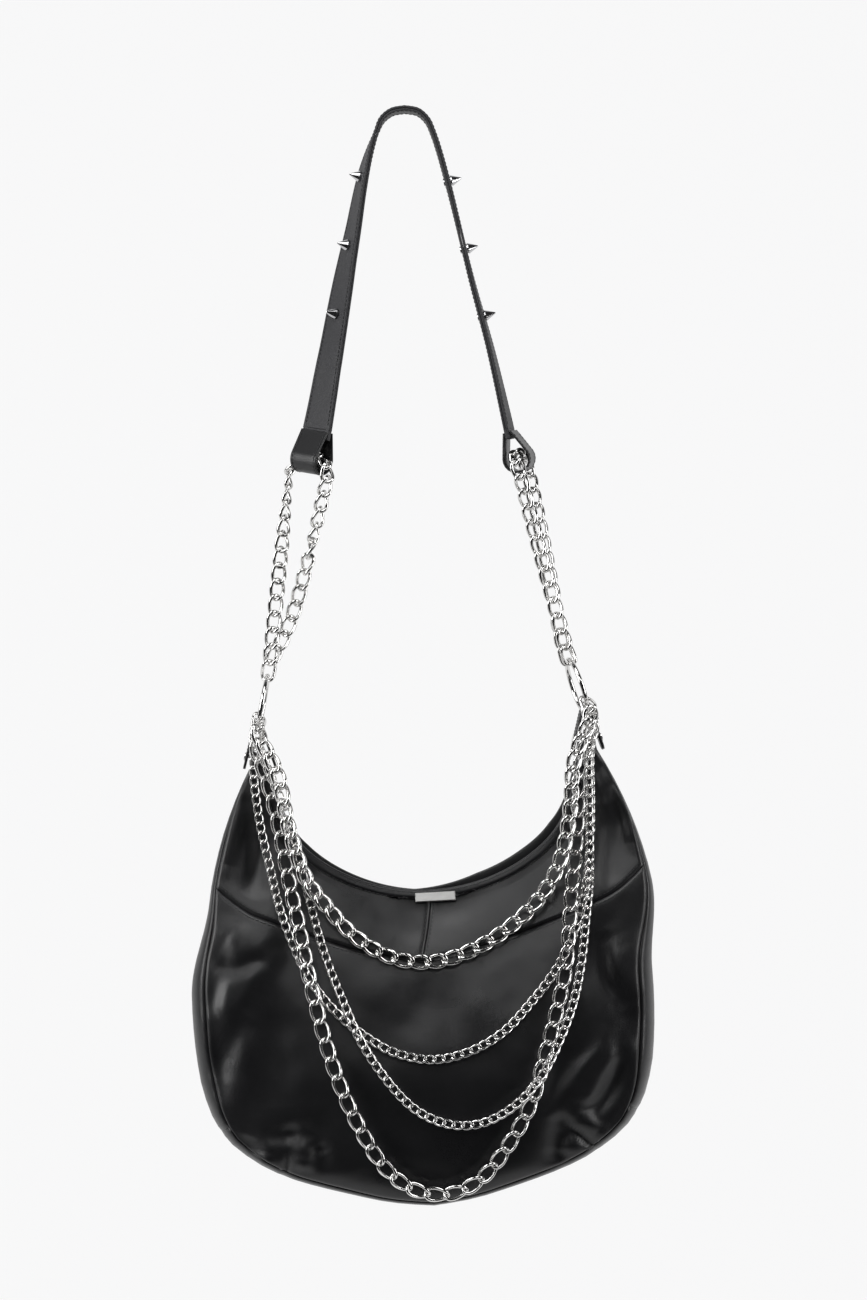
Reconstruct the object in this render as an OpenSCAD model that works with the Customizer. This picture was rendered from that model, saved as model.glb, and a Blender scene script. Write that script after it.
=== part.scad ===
// Soft leather shoulder bag hung from two O-rings by curb chains.
// Sizes in millimetres. The strap's inner face at its top is the origin, X runs
// to the right of the front view, Y to the back and Z up.

/* [Bag] */
// Width of the body at its widest
bag_w = 380; // [300:5:440]
// Height of the body from its peaks to its base
bag_h = 380; // [300:5:440]
// Depth of the body at its fullest
bag_depth = 96; // [60:2:140]
// Depth across the zip at the mouth
mouth_depth = 17; // [14:0.5:24]
// Thickness of the leather
leather = 2; // [1.2:0.1:3]
// Distance of the peaks below the line of the rings
peak_drop = 38; // [34:1:60]
// Sideways lean of the full body below its peaks
body_sway = -11; // [-20:1:20]
// Angle at which the body hangs
hang_angle = 3.1; // [-6:0.1:6]

/* [Rings] */
// Distance between the centres of the rings, as a share of the body's width
ring_share = 0.679; // [0.6:0.001:0.75]
// Outer width of a ring
ring_outer = 50; // [36:1:60]
// Thickness of the ring's wire
ring_wire = 4; // [3:0.1:6]
// Lean of the left ring from the body's upright
ring_lean_left = 13; // [0:1:25]
// Lean of the right ring from the body's upright
ring_lean_right = -15; // [-25:1:0]
// Turn of the right ring towards the front
ring_turn_right = 9; // [0:1:20]
// Height of the rings' line below the top of the strap
ring_drop = 477.7; // [440:1:520]
// Place of the rings' middle to the right of the strap's top
ring_offset = 12.3; // [-20:0.1:30]

/* [Chains] */
// Wire of the strap chains and the top swag
stout_wire = 2.6; // [2:0.1:3]
// Width of a stout link
stout_w = 12.7; // [11:0.1:16]
// Length of a stout link
stout_l = 19.2; // [17:0.1:24]
// Wire of the open chain that hangs lowest
open_wire = 2.2; // [1.8:0.1:2.6]
// Width of an open link
open_w = 12.5; // [11:0.1:15]
// Length of an open link
open_l = 20.6; // [18:0.1:25]
// Wire of the two fine chains
fine_wire = 1.6; // [1.2:0.1:1.8]
// Width of a fine link
fine_w = 7.5; // [6.5:0.1:9]
// Length of a fine link
fine_l = 11.1; // [10:0.1:14]
// Twist of a link's ends out of its own plane
link_twist = 39; // [34:1:44]
// Free play where two links or a link and a ring meet
link_play = 0.18; // [0.12:0.01:0.4]

/* [Strap] */
// Width of the strap
strap_w = 29; // [24:1:40]
// Thickness of each of the strap's two layers
strap_layer = 2.1; // [1.5:0.1:3]
// Height of the leather part of the strap
strap_drop = 262; // [220:2:300]
// Distance between the strap's two ends
strap_spread = 157; // [130:1:190]
// Height of a cone stud
stud_h = 9.5; // [6:0.5:12]
// Width of a cone stud at its base
stud_w = 9; // [6:0.5:10]
// Distance from the strap's end to its lowest stud along the leg
stud_first = 95; // [60:1:110]
// Distance between studs
stud_pitch = 57; // [45:1:70]
// Length of the loop at each end of the strap
loop_h = 37; // [34:1:44]
// Outer width of a loop from the side
loop_w = 23; // [22:0.5:28]
// Lean of the left loop
loop_lean_left = 11; // [0:1:25]
// Lean of the right loop
loop_lean_right = -19; // [-25:1:0]

/* [Mouth and fittings] */
// Length of the bare plate on the front
plate_w = 33; // [24:1:45]
// Height of the bare plate
plate_h = 8; // [6:0.5:12]
// Thickness of the bare plate
plate_t = 1.8; // [1.2:0.1:2.5]
// Distance between teeth of the zip
tooth_pitch = 3; // [2.6:0.1:4]
// Width of a ring's leather tab
tab_w = 10; // [9:0.5:14]
// Thickness of a ring's leather tab
tab_t = 2; // [1.5:0.1:2.5]
// Length of each leg of a tab
tab_leg = 33; // [28:1:40]

/* [Hidden] */

$fn = 24;
black = [0.09, 0.09, 0.1];
hide = [0.16, 0.15, 0.16];
metal = [0.75, 0.76, 0.78];
cloth = [0.3, 0.28, 0.3];

// Clearances
seam_gap = 0.3;
seat_gap = 0.3;
bar_step = 0.04;
bar_overlap = 0.1;
edge_chamfer = 0.6;

// Derived sizes of the body
half_w = bag_w / 2;
ring_span = ring_share * bag_w;
peak_z = -peak_drop;
base_z = peak_z - bag_h;
mouth_half = mouth_depth / 2;
belly_half = bag_depth / 2;
ring_r = (ring_outer - ring_wire) / 2;

// Half widths of the body as shares of half its width, down its height
side_shares = [
    [0, 0.735], [0.04, 0.752], [0.085, 0.802], [0.17, 0.876], [0.255, 0.93],
    [0.325, 0.96], [0.415, 0.985], [0.51, 1], [0.595, 1], [0.665, 0.99],
    [0.72, 0.974], [0.79, 0.93], [0.85, 0.85], [0.9, 0.715], [0.935, 0.565],
    [0.97, 0.335], [0.99, 0.17], [1, 0]
];
// How far the front and back panels stay inside that outline, down its height
inset_shares = [
    [0, 0], [0.1, 0.008], [0.3, 0.026], [0.5, 0.07], [0.7, 0.07],
    [0.85, 0.045], [0.93, 0.03], [1, 0.02]
];
// The mouth's low point, its ends, and the radius of the arc that its rim follows
rim_low_share = 0.32;
rim_end_share = 0.675;
rim_top_share = 0.02;
rim_bow_share = 0.79;
// The seam under the yokes, as shares of half the width and of the height
seam_shares = [
    [-0.92, 0.305], [-0.8, 0.34], [-0.695, 0.365], [-0.46, 0.41],
    [-0.25, 0.443], [0, 0.468], [0.25, 0.443], [0.46, 0.41],
    [0.695, 0.365], [0.8, 0.34], [0.92, 0.305]
];
// Where the fullest depth lies between rim and base, and what is left at the base
full_share = 0.6;
base_depth_share = 0.5;
side_depth_share = 0.45;
// Where the side gussets end and the base begins
corner_share = 0.85;

rim_r = rim_bow_share * half_w;
rim_low_z = peak_z - bag_h * rim_low_share;
sway_share = 0.2;

function unit(v) = v / norm(v);
function mix(a, b, t) = a + (b - a) * t;
function clamp(v, low, high) = max(low, min(high, v));

// A smooth curve through points, with k steps to a span
function curve_point(a, b, c, d, t) =
    (2 * b + (c - a) * t + (2 * a - 5 * b + 4 * c - d) * t * t
        + (3 * b - a - 3 * c + d) * t * t * t) / 2;
function smooth(p, k) =
    let (last = len(p) - 1)
    concat([
        for (i = [0 : last - 1], j = [0 : k - 1])
            curve_point(p[max(0, i - 1)], p[i], p[i + 1], p[min(last, i + 2)], j / k)
    ], [p[last]]);

// Distances along a line of points, paired with the index of each point
function place(p) = [p.x, p.y, p.z];
function run_table(p) = [
    for (i = 0, s = 0; i < len(p); s = s + norm(p[min(i + 1, len(p) - 1)] - p[i]), i = i + 1)
        [s, i]
];
function at_run(p, table, s) =
    let (f = lookup(s, table), i = min(floor(f), len(p) - 2))
    mix(p[i], p[i + 1], f - i);
// The same line in n equal steps
function even(p, n) =
    let (table = run_table(p), total = table[len(p) - 1][0])
    [for (i = [0 : n]) at_run(p, table, total * i / n)];

function turn_y(p, a) = [p.x * cos(a) + p.z * sin(a), p.y, p.z * cos(a) - p.x * sin(a)];
function turn_z(p, a) = [p.x * cos(a) - p.y * sin(a), p.x * sin(a) + p.y * cos(a), p.z];

// From the body's own frame, centred between the rings, to the whole part's frame
function hung(p) = turn_y(p, -hang_angle) + [ring_offset, 0, -ring_drop];
module hung() {
    translate([ring_offset, 0, -ring_drop])
        rotate([0, -hang_angle, 0])
            children();
}

// Surface of the body
function height_share(z) = (peak_z - z) / bag_h;
function side_at(z) = half_w * lookup(height_share(z), side_shares);
function rim_z(x) =
    let (
        across = min(abs(x), rim_end_share * half_w),
        arc = rim_r - sqrt(rim_r * rim_r - across * across),
        end_arc = rim_r - sqrt(rim_r * rim_r - pow(rim_end_share * half_w, 2))
    )
    rim_low_z + arc + (bag_h * (rim_low_share - rim_top_share) - end_arc)
        * pow(across / (rim_end_share * half_w), 14);
function sway(z) =
    body_sway * pow(sin(90 * clamp((height_share(z) - rim_low_share) / sway_share, 0, 1)), 2);
function fullness(s) = s < full_share
    ? sin(90 * s / full_share)
    : cos(acos(base_depth_share) * (s - full_share) / (1 - full_share));
// How far out the mouth's edge is at a height, going on inward below its low point
under_slope = 3;
rim_table = concat(
    [[base_z, under_slope * (base_z - rim_low_z)]],
    [for (p = rim_line(24)) [p.y, p.x]]
);
// Distance from the mouth's edge, counted down and out
function from_rim(x, z) =
    let (down = max(0, rim_z(x) - z), out = max(0, abs(x) - lookup(z, rim_table)))
    down * out / max(seam_gap, norm([down, out]));
// Half the body's depth at a place on its front view
function half_depth(x, z) =
    let (
        s = clamp(from_rim(x, z) / (rim_z(x) - base_z), 0, 1),
        q = clamp(abs(x) / max(1, side_at(z)), 0, 1)
    )
    mouth_half + (belly_half - mouth_half) * fullness(s) * (1 - side_depth_share * pow(q, 3));

function mirror_line(p) = [for (q = p) [-q.x, q.y]];
function reversed(p) = [for (i = [len(p) - 1 : -1 : 0]) p[i]];
function rim_line(n) = [
    for (i = [0 : n])
        let (x = rim_end_share * half_w * sin(90 * i / n)) [x, rim_z(x)]
];

// A grid of points filled in between four edges
function filled(top, bottom, left, right) =
    let (n = len(top) - 1, m = len(left) - 1)
    [
        for (j = [0 : m]) [
            for (i = [0 : n])
                let (u = i / n, v = j / m)
                mix(top[i], bottom[i], v) + mix(left[j], right[j], u)
                    - mix(mix(top[0], top[n], u), mix(bottom[0], bottom[n], u), v)
        ]
    ];

// A closed skin between two grids of points, the first one on the outside
module skin(outer, inner) {
    m = len(outer) - 1;
    n = len(outer[0]) - 1;
    count = (m + 1) * (n + 1);
    function at(j, i) = j * (n + 1) + i;
    points = concat([for (row = outer) each row], [for (row = inner) each row]);
    faces = concat(
        [
            for (j = [0 : m - 1], i = [0 : n - 1], h = [0, 1])
                h == 0
                    ? [at(j, i), at(j, i + 1), at(j + 1, i + 1)]
                    : [at(j, i), at(j + 1, i + 1), at(j + 1, i)]
        ],
        [
            for (j = [0 : m - 1], i = [0 : n - 1], h = [0, 1])
                h == 0
                    ? [count + at(j, i), count + at(j + 1, i + 1), count + at(j, i + 1)]
                    : [count + at(j, i), count + at(j + 1, i), count + at(j + 1, i + 1)]
        ],
        [for (i = [0 : n - 1]) each rim_faces(at(0, i + 1), at(0, i), count)],
        [for (i = [0 : n - 1]) each rim_faces(at(m, i), at(m, i + 1), count)],
        [for (j = [0 : m - 1]) each rim_faces(at(j, 0), at(j + 1, 0), count)],
        [for (j = [0 : m - 1]) each rim_faces(at(j + 1, n), at(j, n), count)]
    );
    polyhedron(points = points, faces = faces, convexity = 8);
}
function rim_faces(a, b, count) = [[a, b, count + b], [a, count + b, count + a]];

// A closed tube through rings of points that all have the same count
module tube_through(rings) {
    n = len(rings[0]);
    last = len(rings) - 1;
    points = [for (r = rings) each r];
    faces = concat(
        [[for (k = [n - 1 : -1 : 0]) k]],
        [[for (k = [0 : n - 1]) last * n + k]],
        [
            for (i = [0 : last - 1], k = [0 : n - 1], h = [0, 1])
                let (k2 = (k + 1) % n)
                h == 0
                    ? [i * n + k, i * n + k2, (i + 1) * n + k2]
                    : [i * n + k, (i + 1) * n + k2, (i + 1) * n + k]
        ]
    );
    polyhedron(points = points, faces = faces, convexity = 8);
}

// A curb link: four bent corners, two end bars turned opposite ways, two legs
module link(wire, width, length) {
    a = (length - wire) / 2;
    w = (width - wire) / 2;
    slope = atan(w / a * tan(link_twist));
    bend = acos(-sin(link_twist) * sin(slope));
    bar = wire / 3;
    cut = w / cos(link_twist) - bar;
    bend_r = cut / tan(bend / 2);
    leg = a / cos(slope) - cut;
    along = [0, cos(link_twist), sin(link_twist)];
    back = [-cos(slope), 0, -sin(slope)];
    start = [a, 0, 0] + bar * along;
    inward = unit(back - (back * along) * along);
    centre = start + bend_r * inward;
    side = cross(-inward, along);
    for (s = [0, 1])
        rotate([0, 0, 180 * s]) {
            translate([a, 0, 0])
                rotate([link_twist + 90, 0, 0])
                    cylinder(h = 2 * (bar + bar_overlap), d = wire - bar_step, center = true);
            translate([0, w, 0])
                rotate([0, 90 - slope, 0])
                    cylinder(h = 2 * (leg + bar_overlap), d = wire - bar_step, center = true);
        }
    for (s = [0, 1], m = [0, 1])
        rotate([180 * m, 0, 180 * s])
            multmatrix([
                [-inward.x, along.x, side.x, centre.x],
                [-inward.y, along.y, side.y, centre.y],
                [-inward.z, along.z, side.z, centre.z],
                [0, 0, 0, 1]
            ])
                rotate_extrude(angle = bend)
                    translate([bend_r, 0])
                        circle(d = wire);
}

// A run of links along a route of points, each with the direction its links show
module chain(route, wire, width, length) {
    line = smooth(route, 4);
    table = run_table([for (q = line) place(q)]);
    total = table[len(line) - 1][0];
    count = ceil(total / (length - 2 * wire - link_play));
    for (i = [0 : count - 1]) {
        p = at_run(line, table, total * i / count);
        q = at_run(line, table, total * (i + 1) / count);
        x = unit(place(q) - place(p));
        c = (p + q) / 2;
        show = [c[3], c[4], c[5]];
        z = unit(show - (show * x) * x);
        y = cross(z, x);
        multmatrix([
            [x.x, y.x, z.x, c.x],
            [x.y, y.y, z.y, c.y],
            [x.z, y.z, z.z, c.z],
            [0, 0, 0, 1]
        ])
            link(wire, width, length);
    }
}

// Place on a ring at an angle forward from its lowest point, in the body's frame
function ring_centre(side) = [side * ring_span / 2, 0, 0];
function ring_lean(side) = side < 0 ? ring_lean_left : ring_lean_right;
function ring_turn(side) = side < 0 ? 0 : ring_turn_right;
function on_ring(side, angle, r) =
    ring_centre(side)
        + turn_z(turn_y([0, -r * sin(angle), -r * cos(angle)], ring_lean(side)), ring_turn(side));

// Angles on the rings at which the swags hang, from the tab forward
fine_upper_angle = 22;
open_angle = 33;
fine_lower_angle = 46;
top_angle = 60;
// The links of the fine chains that hang in a ring are larger than the rest
end_w = 10;
end_l = 14.5;
// Angle to each side of a ring's top at which a strap chain's two ends hang
strap_chain_angle = 12;
// Distance forward that one more chain takes up where chains lie over each other
lane = fine_w * 0.61;
probe = 1;

// Where the swags hang: shares of half the width, of the height, and lanes forward
top_shares = [
    [-0.624, 0.155, 5], [-0.597, 0.258, 4.7], [-0.533, 0.378, 3.5], [-0.454, 0.436, 2.3],
    [-0.369, 0.492, 1.3], [-0.264, 0.535, 0.95], [-0.145, 0.564, 0.95], [0.016, 0.571, 0.95],
    [0.166, 0.551, 0.95], [0.296, 0.518, 0.95], [0.41, 0.476, 1.1], [0.498, 0.428, 2.2],
    [0.56, 0.373, 3.5], [0.597, 0.313, 4], [0.624, 0.242, 4.4], [0.644, 0.155, 5]
];
fine_upper_shares = [
    [-0.732, 0.155, 0.6], [-0.716, 0.258, 0.65], [-0.681, 0.355, 0.7], [-0.649, 0.438, 0.7],
    [-0.603, 0.513, 0.6], [-0.546, 0.583, 0.6], [-0.473, 0.64, 0.6], [-0.39, 0.686, 0.6],
    [-0.306, 0.721, 0.6], [-0.192, 0.757, 0.6], [-0.032, 0.777, 0.6], [0.13, 0.764, 0.6],
    [0.28, 0.726, 0.6], [0.4, 0.669, 0.6], [0.509, 0.607, 0.6], [0.592, 0.538, 0.7],
    [0.651, 0.456, 0.9], [0.681, 0.39, 0.9], [0.701, 0.311, 0.75], [0.711, 0.233, 0.6],
    [0.716, 0.155, 0.6]
];
fine_lower_shares = [
    [-0.659, 0.155, 3.5], [-0.587, 0.258, 3.3], [-0.538, 0.381, 1.3], [-0.493, 0.489, 0.95],
    [-0.452, 0.565, 0.95], [-0.395, 0.645, 1.5], [-0.328, 0.731, 1.7], [-0.229, 0.814, 1.2],
    [-0.119, 0.879, 0.7], [0.016, 0.915, 0.7], [0.161, 0.918, 0.9], [0.306, 0.884, 2],
    [0.426, 0.825, 2.5], [0.509, 0.755, 2.5], [0.582, 0.672, 2.5], [0.629, 0.583, 2.1],
    [0.656, 0.5, 2], [0.681, 0.422, 2.1], [0.691, 0.355, 2.4], [0.696, 0.295, 3.1],
    [0.701, 0.233, 3.4], [0.707, 0.155, 3.5]
];
open_shares = [
    [-0.681, 0.155, 2], [-0.638, 0.258, 2], [-0.602, 0.388, 2], [-0.567, 0.487, 2],
    [-0.532, 0.601, 2], [-0.478, 0.733, 1.1], [-0.406, 0.854, 0.95], [-0.31, 0.961, 0.95],
    [-0.238, 1.015, 0.95], [-0.148, 1.052, 0.95], [-0.031, 1.069, 0.95], [0.081, 1.059, 0.95],
    [0.173, 1.029, 0.95], [0.249, 0.984, 0.95], [0.32, 0.934, 0.95], [0.391, 0.868, 0.95],
    [0.447, 0.786, 0.95], [0.512, 0.685, 1.2], [0.563, 0.59, 1.9], [0.587, 0.497, 2.15],
    [0.606, 0.427, 2.1], [0.632, 0.349, 2], [0.652, 0.269, 2], [0.675, 0.155, 2]
];

// Outward direction of the body's front
function front_normal(x, z) =
    -unit([
        (half_depth(x + probe, z) - half_depth(x - probe, z)) / (2 * probe),
        1,
        (half_depth(x, z + probe) - half_depth(x, z - probe)) / (2 * probe)
    ]);
function swag_point(q) =
    let (x = q.x * half_w, z = -q.y * bag_h, n = front_normal(x - sway(z), z))
    concat([x, q.z * lane / n.y - half_depth(x - sway(z), z), z], n);
function swag_end(side, angle, step) =
    concat(ring_joint(side, angle, step), ring_across(side, angle));
function swag_route(shares, angle, step) = concat(
    [swag_end(-1, angle, step), swag_end(-1, angle, step + lane)],
    [for (q = shares) swag_point(q)],
    [swag_end(1, angle, step + lane), swag_end(1, angle, step)]
);
// A swag between the rings, hung from a link in each
module swag(shares, angle, wire, width, length, hook_w, hook_l) {
    hung() {
        chain(swag_route(shares, angle, hook_l - 2 * wire - link_play), wire, width, length);
        for (side = [-1, 1])
            ring_link(side, angle, wire, hook_w, hook_l);
    }
}

// Middle of each leg from the top down: shares of the spread and drop, and facing
left_leg_shares = [
    [0, 0, 90], [-0.092, 0.014, 90], [-0.146, 0.065, 92], [-0.212, 0.19, 103],
    [-0.271, 0.378, 112], [-0.329, 0.565, 123], [-0.402, 0.816, 133], [-0.457, 1, 142]
];
right_leg_shares = [
    [0, 0, 90], [0.092, 0.016, 90], [0.154, 0.085, 90], [0.233, 0.25, 90],
    [0.347, 0.53, 87], [0.447, 0.75, 83], [0.543, 1, 78]
];
leg_steps = 26;
loop_turn_left = left_leg_shares[len(left_leg_shares) - 1][2];
loop_turn_right = right_leg_shares[len(right_leg_shares) - 1][2];

function leg_route(shares) = even(smooth([
    for (q = shares) [q.x * strap_spread, 0, strap_layer - q.y * strap_drop, q.z]
], 6), leg_steps);
strap_end_left = leg_route(left_leg_shares)[leg_steps];
strap_end_right = leg_route(right_leg_shares)[leg_steps];

// Frame of the strap at a step: middle, direction across its width, outward normal
function strap_frame(line, i, side) =
    let (
        p = line[max(0, i - 1)], q = line[min(leg_steps, i + 1)],
        t = unit(place(q) - place(p)),
        yaw = line[i][3],
        across0 = [cos(yaw), sin(yaw), 0],
        across = unit(across0 - (across0 * t) * t),
        out = side * cross(across, t)
    )
    [place(line[i]), across, out];
// The strap's section between two heights above its middle
function strap_ring(f, low, high) =
    let (w = strap_w / 2, e = edge_chamfer)
    [
        for (c = [
            [0, low], [-w, low], [-w, high - e], [e - w, high],
            [0, high], [w - e, high], [w, high - e], [w, low]
        ]) f[0] + c.x * f[1] + c.y * f[2]
    ];

module strap_layer_solid(low, high) {
    left = leg_route(left_leg_shares);
    right = leg_route(right_leg_shares);
    rings = concat(
        [for (i = [leg_steps : -1 : 1]) strap_ring(strap_frame(left, i, 1), low, high)],
        [for (i = [0 : leg_steps]) strap_ring(strap_frame(right, i, -1), low, high)]
    );
    tube_through(rings);
}

// Places of the studs, along each leg from its end
leg_studs = 3;
function leg_length(line) = run_table([for (q = line) place(q)])[leg_steps][0];
function stud_frames() =
    let (left = leg_route(left_leg_shares), right = leg_route(right_leg_shares))
    concat(
        [for (n = [0 : leg_studs - 1]) stud_frame(left, stud_first + n * stud_pitch, 1)],
        [for (n = [0 : leg_studs - 1]) stud_frame(right, stud_first + n * stud_pitch, -1)]
    );
function stud_frame(line, s, side) =
    let (f = leg_steps * (1 - s / leg_length(line)), i = floor(f))
    mix(strap_frame(line, i, side), strap_frame(line, i + 1, side), f - i);
module on_strap() {
    for (f = stud_frames()) {
        x = unit(f[1]);
        z = unit(f[2] - (f[2] * x) * x);
        y = cross(z, x);
        multmatrix([
            [x.x, y.x, z.x, f[0].x],
            [x.y, y.y, z.y, f[0].y],
            [x.z, y.z, z.z, f[0].z],
            [0, 0, 0, 1]
        ])
            children();
    }
}

stud_screw_w = 2.6;
screw_head_w = 6;
screw_head_h = 1;
stud_collar_h = 1.4;

module stud_bores() {
    on_strap()
        cylinder(h = 4 * strap_layer, d = stud_screw_w + seam_gap, center = true);
}

module strap_outer() {
    color(black)
        difference() {
            strap_layer_solid(seam_gap / 2, strap_layer);
            stud_bores();
        }
}

module strap_inner() {
    color(hide)
        difference() {
            strap_layer_solid(-strap_layer, -seam_gap / 2);
            stud_bores();
        }
}

// Turned cones on a short collar
module cone_studs() {
    color(metal)
        on_strap()
            translate([0, 0, strap_layer + seat_gap])
                rotate_extrude()
                    polygon([
                        [0, 0], [stud_w / 2 - edge_chamfer, 0],
                        [stud_w / 2 - edge_chamfer, stud_collar_h / 2],
                        [stud_w / 2, stud_collar_h / 2], [stud_w / 2, stud_collar_h],
                        [edge_chamfer, stud_h - edge_chamfer / 2], [0, stud_h]
                    ]);
}

module stud_screws() {
    color(metal)
        on_strap() {
            translate([0, 0, -strap_layer - seat_gap - screw_head_h])
                cylinder(h = screw_head_h, d = screw_head_w);
            translate([0, 0, -strap_layer - seat_gap - screw_head_h])
                cylinder(h = 2 * strap_layer + 1.5 * seat_gap + screw_head_h, d = stud_screw_w);
        }
}

loop_t = 2.1;
loop_neck = 2 * strap_layer;
loop_seam = 5;
loop_taper_share = 0.9;
// Where each loop begins below the strap's end, so that the two clear each other
loop_start_left = 1.7;
loop_start_right = 2.4;
loop_half = loop_taper_share * strap_w / 2;
// Curve of the chain where it passes over the loop, its links lying flat on it
pass_r = 20;
pass_steps = 6;
flat_share = 0.56;

// Outline of a drop: a round lower end and straight sides that meet it smoothly
function drop_touch(neck, top, r, low) =
    let (d = norm([neck, top - low]), a = atan2(top - low, neck) - acos(r / d))
    [r * cos(a), low + r * sin(a)];
module drop(neck, top, r, low) {
    touch = drop_touch(neck, top, r, low);
    translate([0, low]) circle(r = r);
    polygon([[-neck, top], [neck, top], touch, [0, low], [-touch.x, touch.y]]);
}

module loop(start) {
    low = -(loop_h - loop_w / 2);
    intersection() {
        rotate([90, 0, 90])
            linear_extrude(height = 2 * strap_w, center = true)
                difference() {
                    drop(loop_neck / 2, 0, loop_w / 2, low);
                    drop(seam_gap, -start - loop_seam, loop_w / 2 - loop_t, low);
                }
        rotate([90, 0, 0])
            linear_extrude(height = 2 * loop_w, center = true)
                polygon([
                    [-strap_w / 2, -start], [strap_w / 2, -start],
                    [loop_half, -loop_h - loop_w], [-loop_half, -loop_h - loop_w]
                ]);
    }
}
module at_loop(end, lean, turn) {
    translate(place(end))
        rotate([0, lean, 0])
            rotate([0, 0, turn])
                children();
}

module loop_left() {
    color(black)
        at_loop(strap_end_left, loop_lean_left, loop_turn_left)
            loop(loop_start_left);
}
module loop_right() {
    color(black)
        at_loop(strap_end_right, loop_lean_right, loop_turn_right)
            loop(loop_start_right);
}

// The chain's way over a loop, then down both sides to the ring
pass_reach = pass_r * cos(stout_l / 2 * 360 / (2 * PI * pass_r)) - flat_share * stout_w / 2
    - seat_gap;
pass_z = loop_t - loop_h - sqrt(pass_reach * pass_reach - loop_half * loop_half);
function pass_point(a, end, lean, turn, twist) =
    let (
        at = place(end) + turn_y(turn_z([pass_r * cos(a), 0, pass_z + pass_r * sin(a)], turn), lean),
        side = cos(a) * twist * pow(cos(a), 6),
        flat = turn_y(turn_z([cos(a), 0, sin(a)], turn), lean),
        show = flat * cos(side) + [0, -1, 0] * sin(side) * sign(cos(a) + seam_gap / pass_r)
    )
    concat(at, show);
// A link hung in a ring points part of the way between straight out and straight on
ring_hang_share = 0.7;
function ring_along(side, angle) =
    let (base = angle > 90 ? 180 : 0)
    unit(on_ring(side, base + ring_hang_share * (angle - base), ring_r) - ring_centre(side));
function ring_across(side, angle) =
    let (
        along = ring_along(side, angle),
        t = unit(on_ring(side, angle + probe, ring_r) - on_ring(side, angle - probe, ring_r))
    )
    unit(t - (t * along) * along);
// A point of a chain, some way past where its last link bears on a ring
function ring_joint(side, angle, step) =
    on_ring(side, angle, ring_r - ring_wire / 2 - link_play) + step * ring_along(side, angle);
module ring_link(side, angle, wire, width, length) {
    x = ring_along(side, angle);
    z = ring_across(side, angle);
    y = cross(z, x);
    c = ring_joint(side, angle, length / 2 - wire - link_play / 2);
    multmatrix([
        [x.x, y.x, z.x, c.x],
        [x.y, y.y, z.y, c.y],
        [x.z, y.z, z.z, c.z],
        [0, 0, 0, 1]
    ])
        link(wire, width, length);
}
stout_step = stout_l - 2 * stout_wire - link_play;
function strap_chain_end(side, angle) =
    concat(hung(ring_joint(side, angle, stout_step)),
        turn_y(ring_across(side, angle), -hang_angle));
// A point between the ring and the loop that keeps the two ends of the chain apart
apart_share = 0.3;
run_bow = 6.5;
left_twist = 32;
function held_apart(from, to, bow) =
    let (m = mix(from, to, apart_share))
    [m.x + bow, from.y, m.z, from[3], from[4], from[5]];
function strap_chain_route(side, end, lean, turn, bow, twist) =
    let (
        over = [
            for (k = [0 : pass_steps])
                pass_point(180 * k / pass_steps, end, lean, turn, twist)
        ],
        first = strap_chain_end(side, 180 - strap_chain_angle),
        last = strap_chain_end(side, 180 + strap_chain_angle)
    )
    concat([first, held_apart(first, over[0], 0)], over,
        [held_apart(last, over[pass_steps], bow), last]);
module strap_chain(side, end, lean, turn, bow, twist) {
    chain(strap_chain_route(side, end, lean, turn, bow, twist), stout_wire, stout_w, stout_l);
    hung()
        for (s = [-1, 1])
            ring_link(side, 180 + s * strap_chain_angle, stout_wire, stout_w, stout_l);
}

module strap_chain_left() {
    color(metal)
        strap_chain(-1, strap_end_left, loop_lean_left, loop_turn_left, run_bow, left_twist);
}
module strap_chain_right() {
    color(metal)
        strap_chain(1, strap_end_right, loop_lean_right, loop_turn_right, 0, 0);
}

module ring(side) {
    hung()
        translate(ring_centre(side))
            rotate([0, 0, ring_turn(side)])
                rotate([0, ring_lean(side) + 90, 0])
                    rotate_extrude()
                        translate([ring_r, 0])
                            circle(d = ring_wire);
}
module ring_left() {
    color(metal) ring(-1);
}
module ring_right() {
    color(metal) ring(1);
}

// A strap folded round the ring, with a leg down each face of the body's peak
tab_spread = 16.5;
tab_eye = ring_wire / 2 + ring_r - sqrt(ring_r * ring_r - tab_w * tab_w / 4) + seat_gap;
rivet_w = 3;
rivet_head_w = 6.5;
rivet_head_h = 1;
rivet_share = 0.62;

module tab_outline() {
    for (s = [-1, 1])
        rotate(s * tab_spread)
            translate([s < 0 ? -tab_eye - tab_t : tab_eye, -tab_leg])
                square([tab_t, tab_leg]);
    difference() {
        circle(r = tab_eye + tab_t);
        circle(r = tab_eye);
        rotate(tab_spread)
            translate([-2 * tab_eye, -4 * tab_eye])
                square([tab_eye * 3, 4 * tab_eye]);
    }
}
module tab() {
    difference() {
        intersection() {
            rotate([90, 0, 0])
                linear_extrude(height = tab_w, center = true)
                    tab_outline();
            rotate([90, 0, 90])
                linear_extrude(height = 3 * tab_leg, center = true)
                    union() {
                        translate([0, tab_w / 2 - tab_leg])
                            circle(d = tab_w + seam_gap);
                        translate([-tab_w, tab_w / 2 - tab_leg])
                            square([2 * tab_w, 2 * tab_leg]);
                    }
        }
        tab_rivet_place()
            cylinder(h = 3 * tab_leg, d = rivet_w + seam_gap, center = true);
    }
}
module tab_rivet_place() {
    translate([0, 0, -tab_leg * rivet_share])
        rotate([0, 90, 0])
            children();
}
module in_tab_frame(side) {
    translate(on_ring(side, 0, ring_r))
        rotate([0, 0, ring_turn(side)])
            children();
}
module at_tab(side) {
    hung() in_tab_frame(side) children();
}
module tab_left() {
    color(black) at_tab(-1) tab();
}
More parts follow.
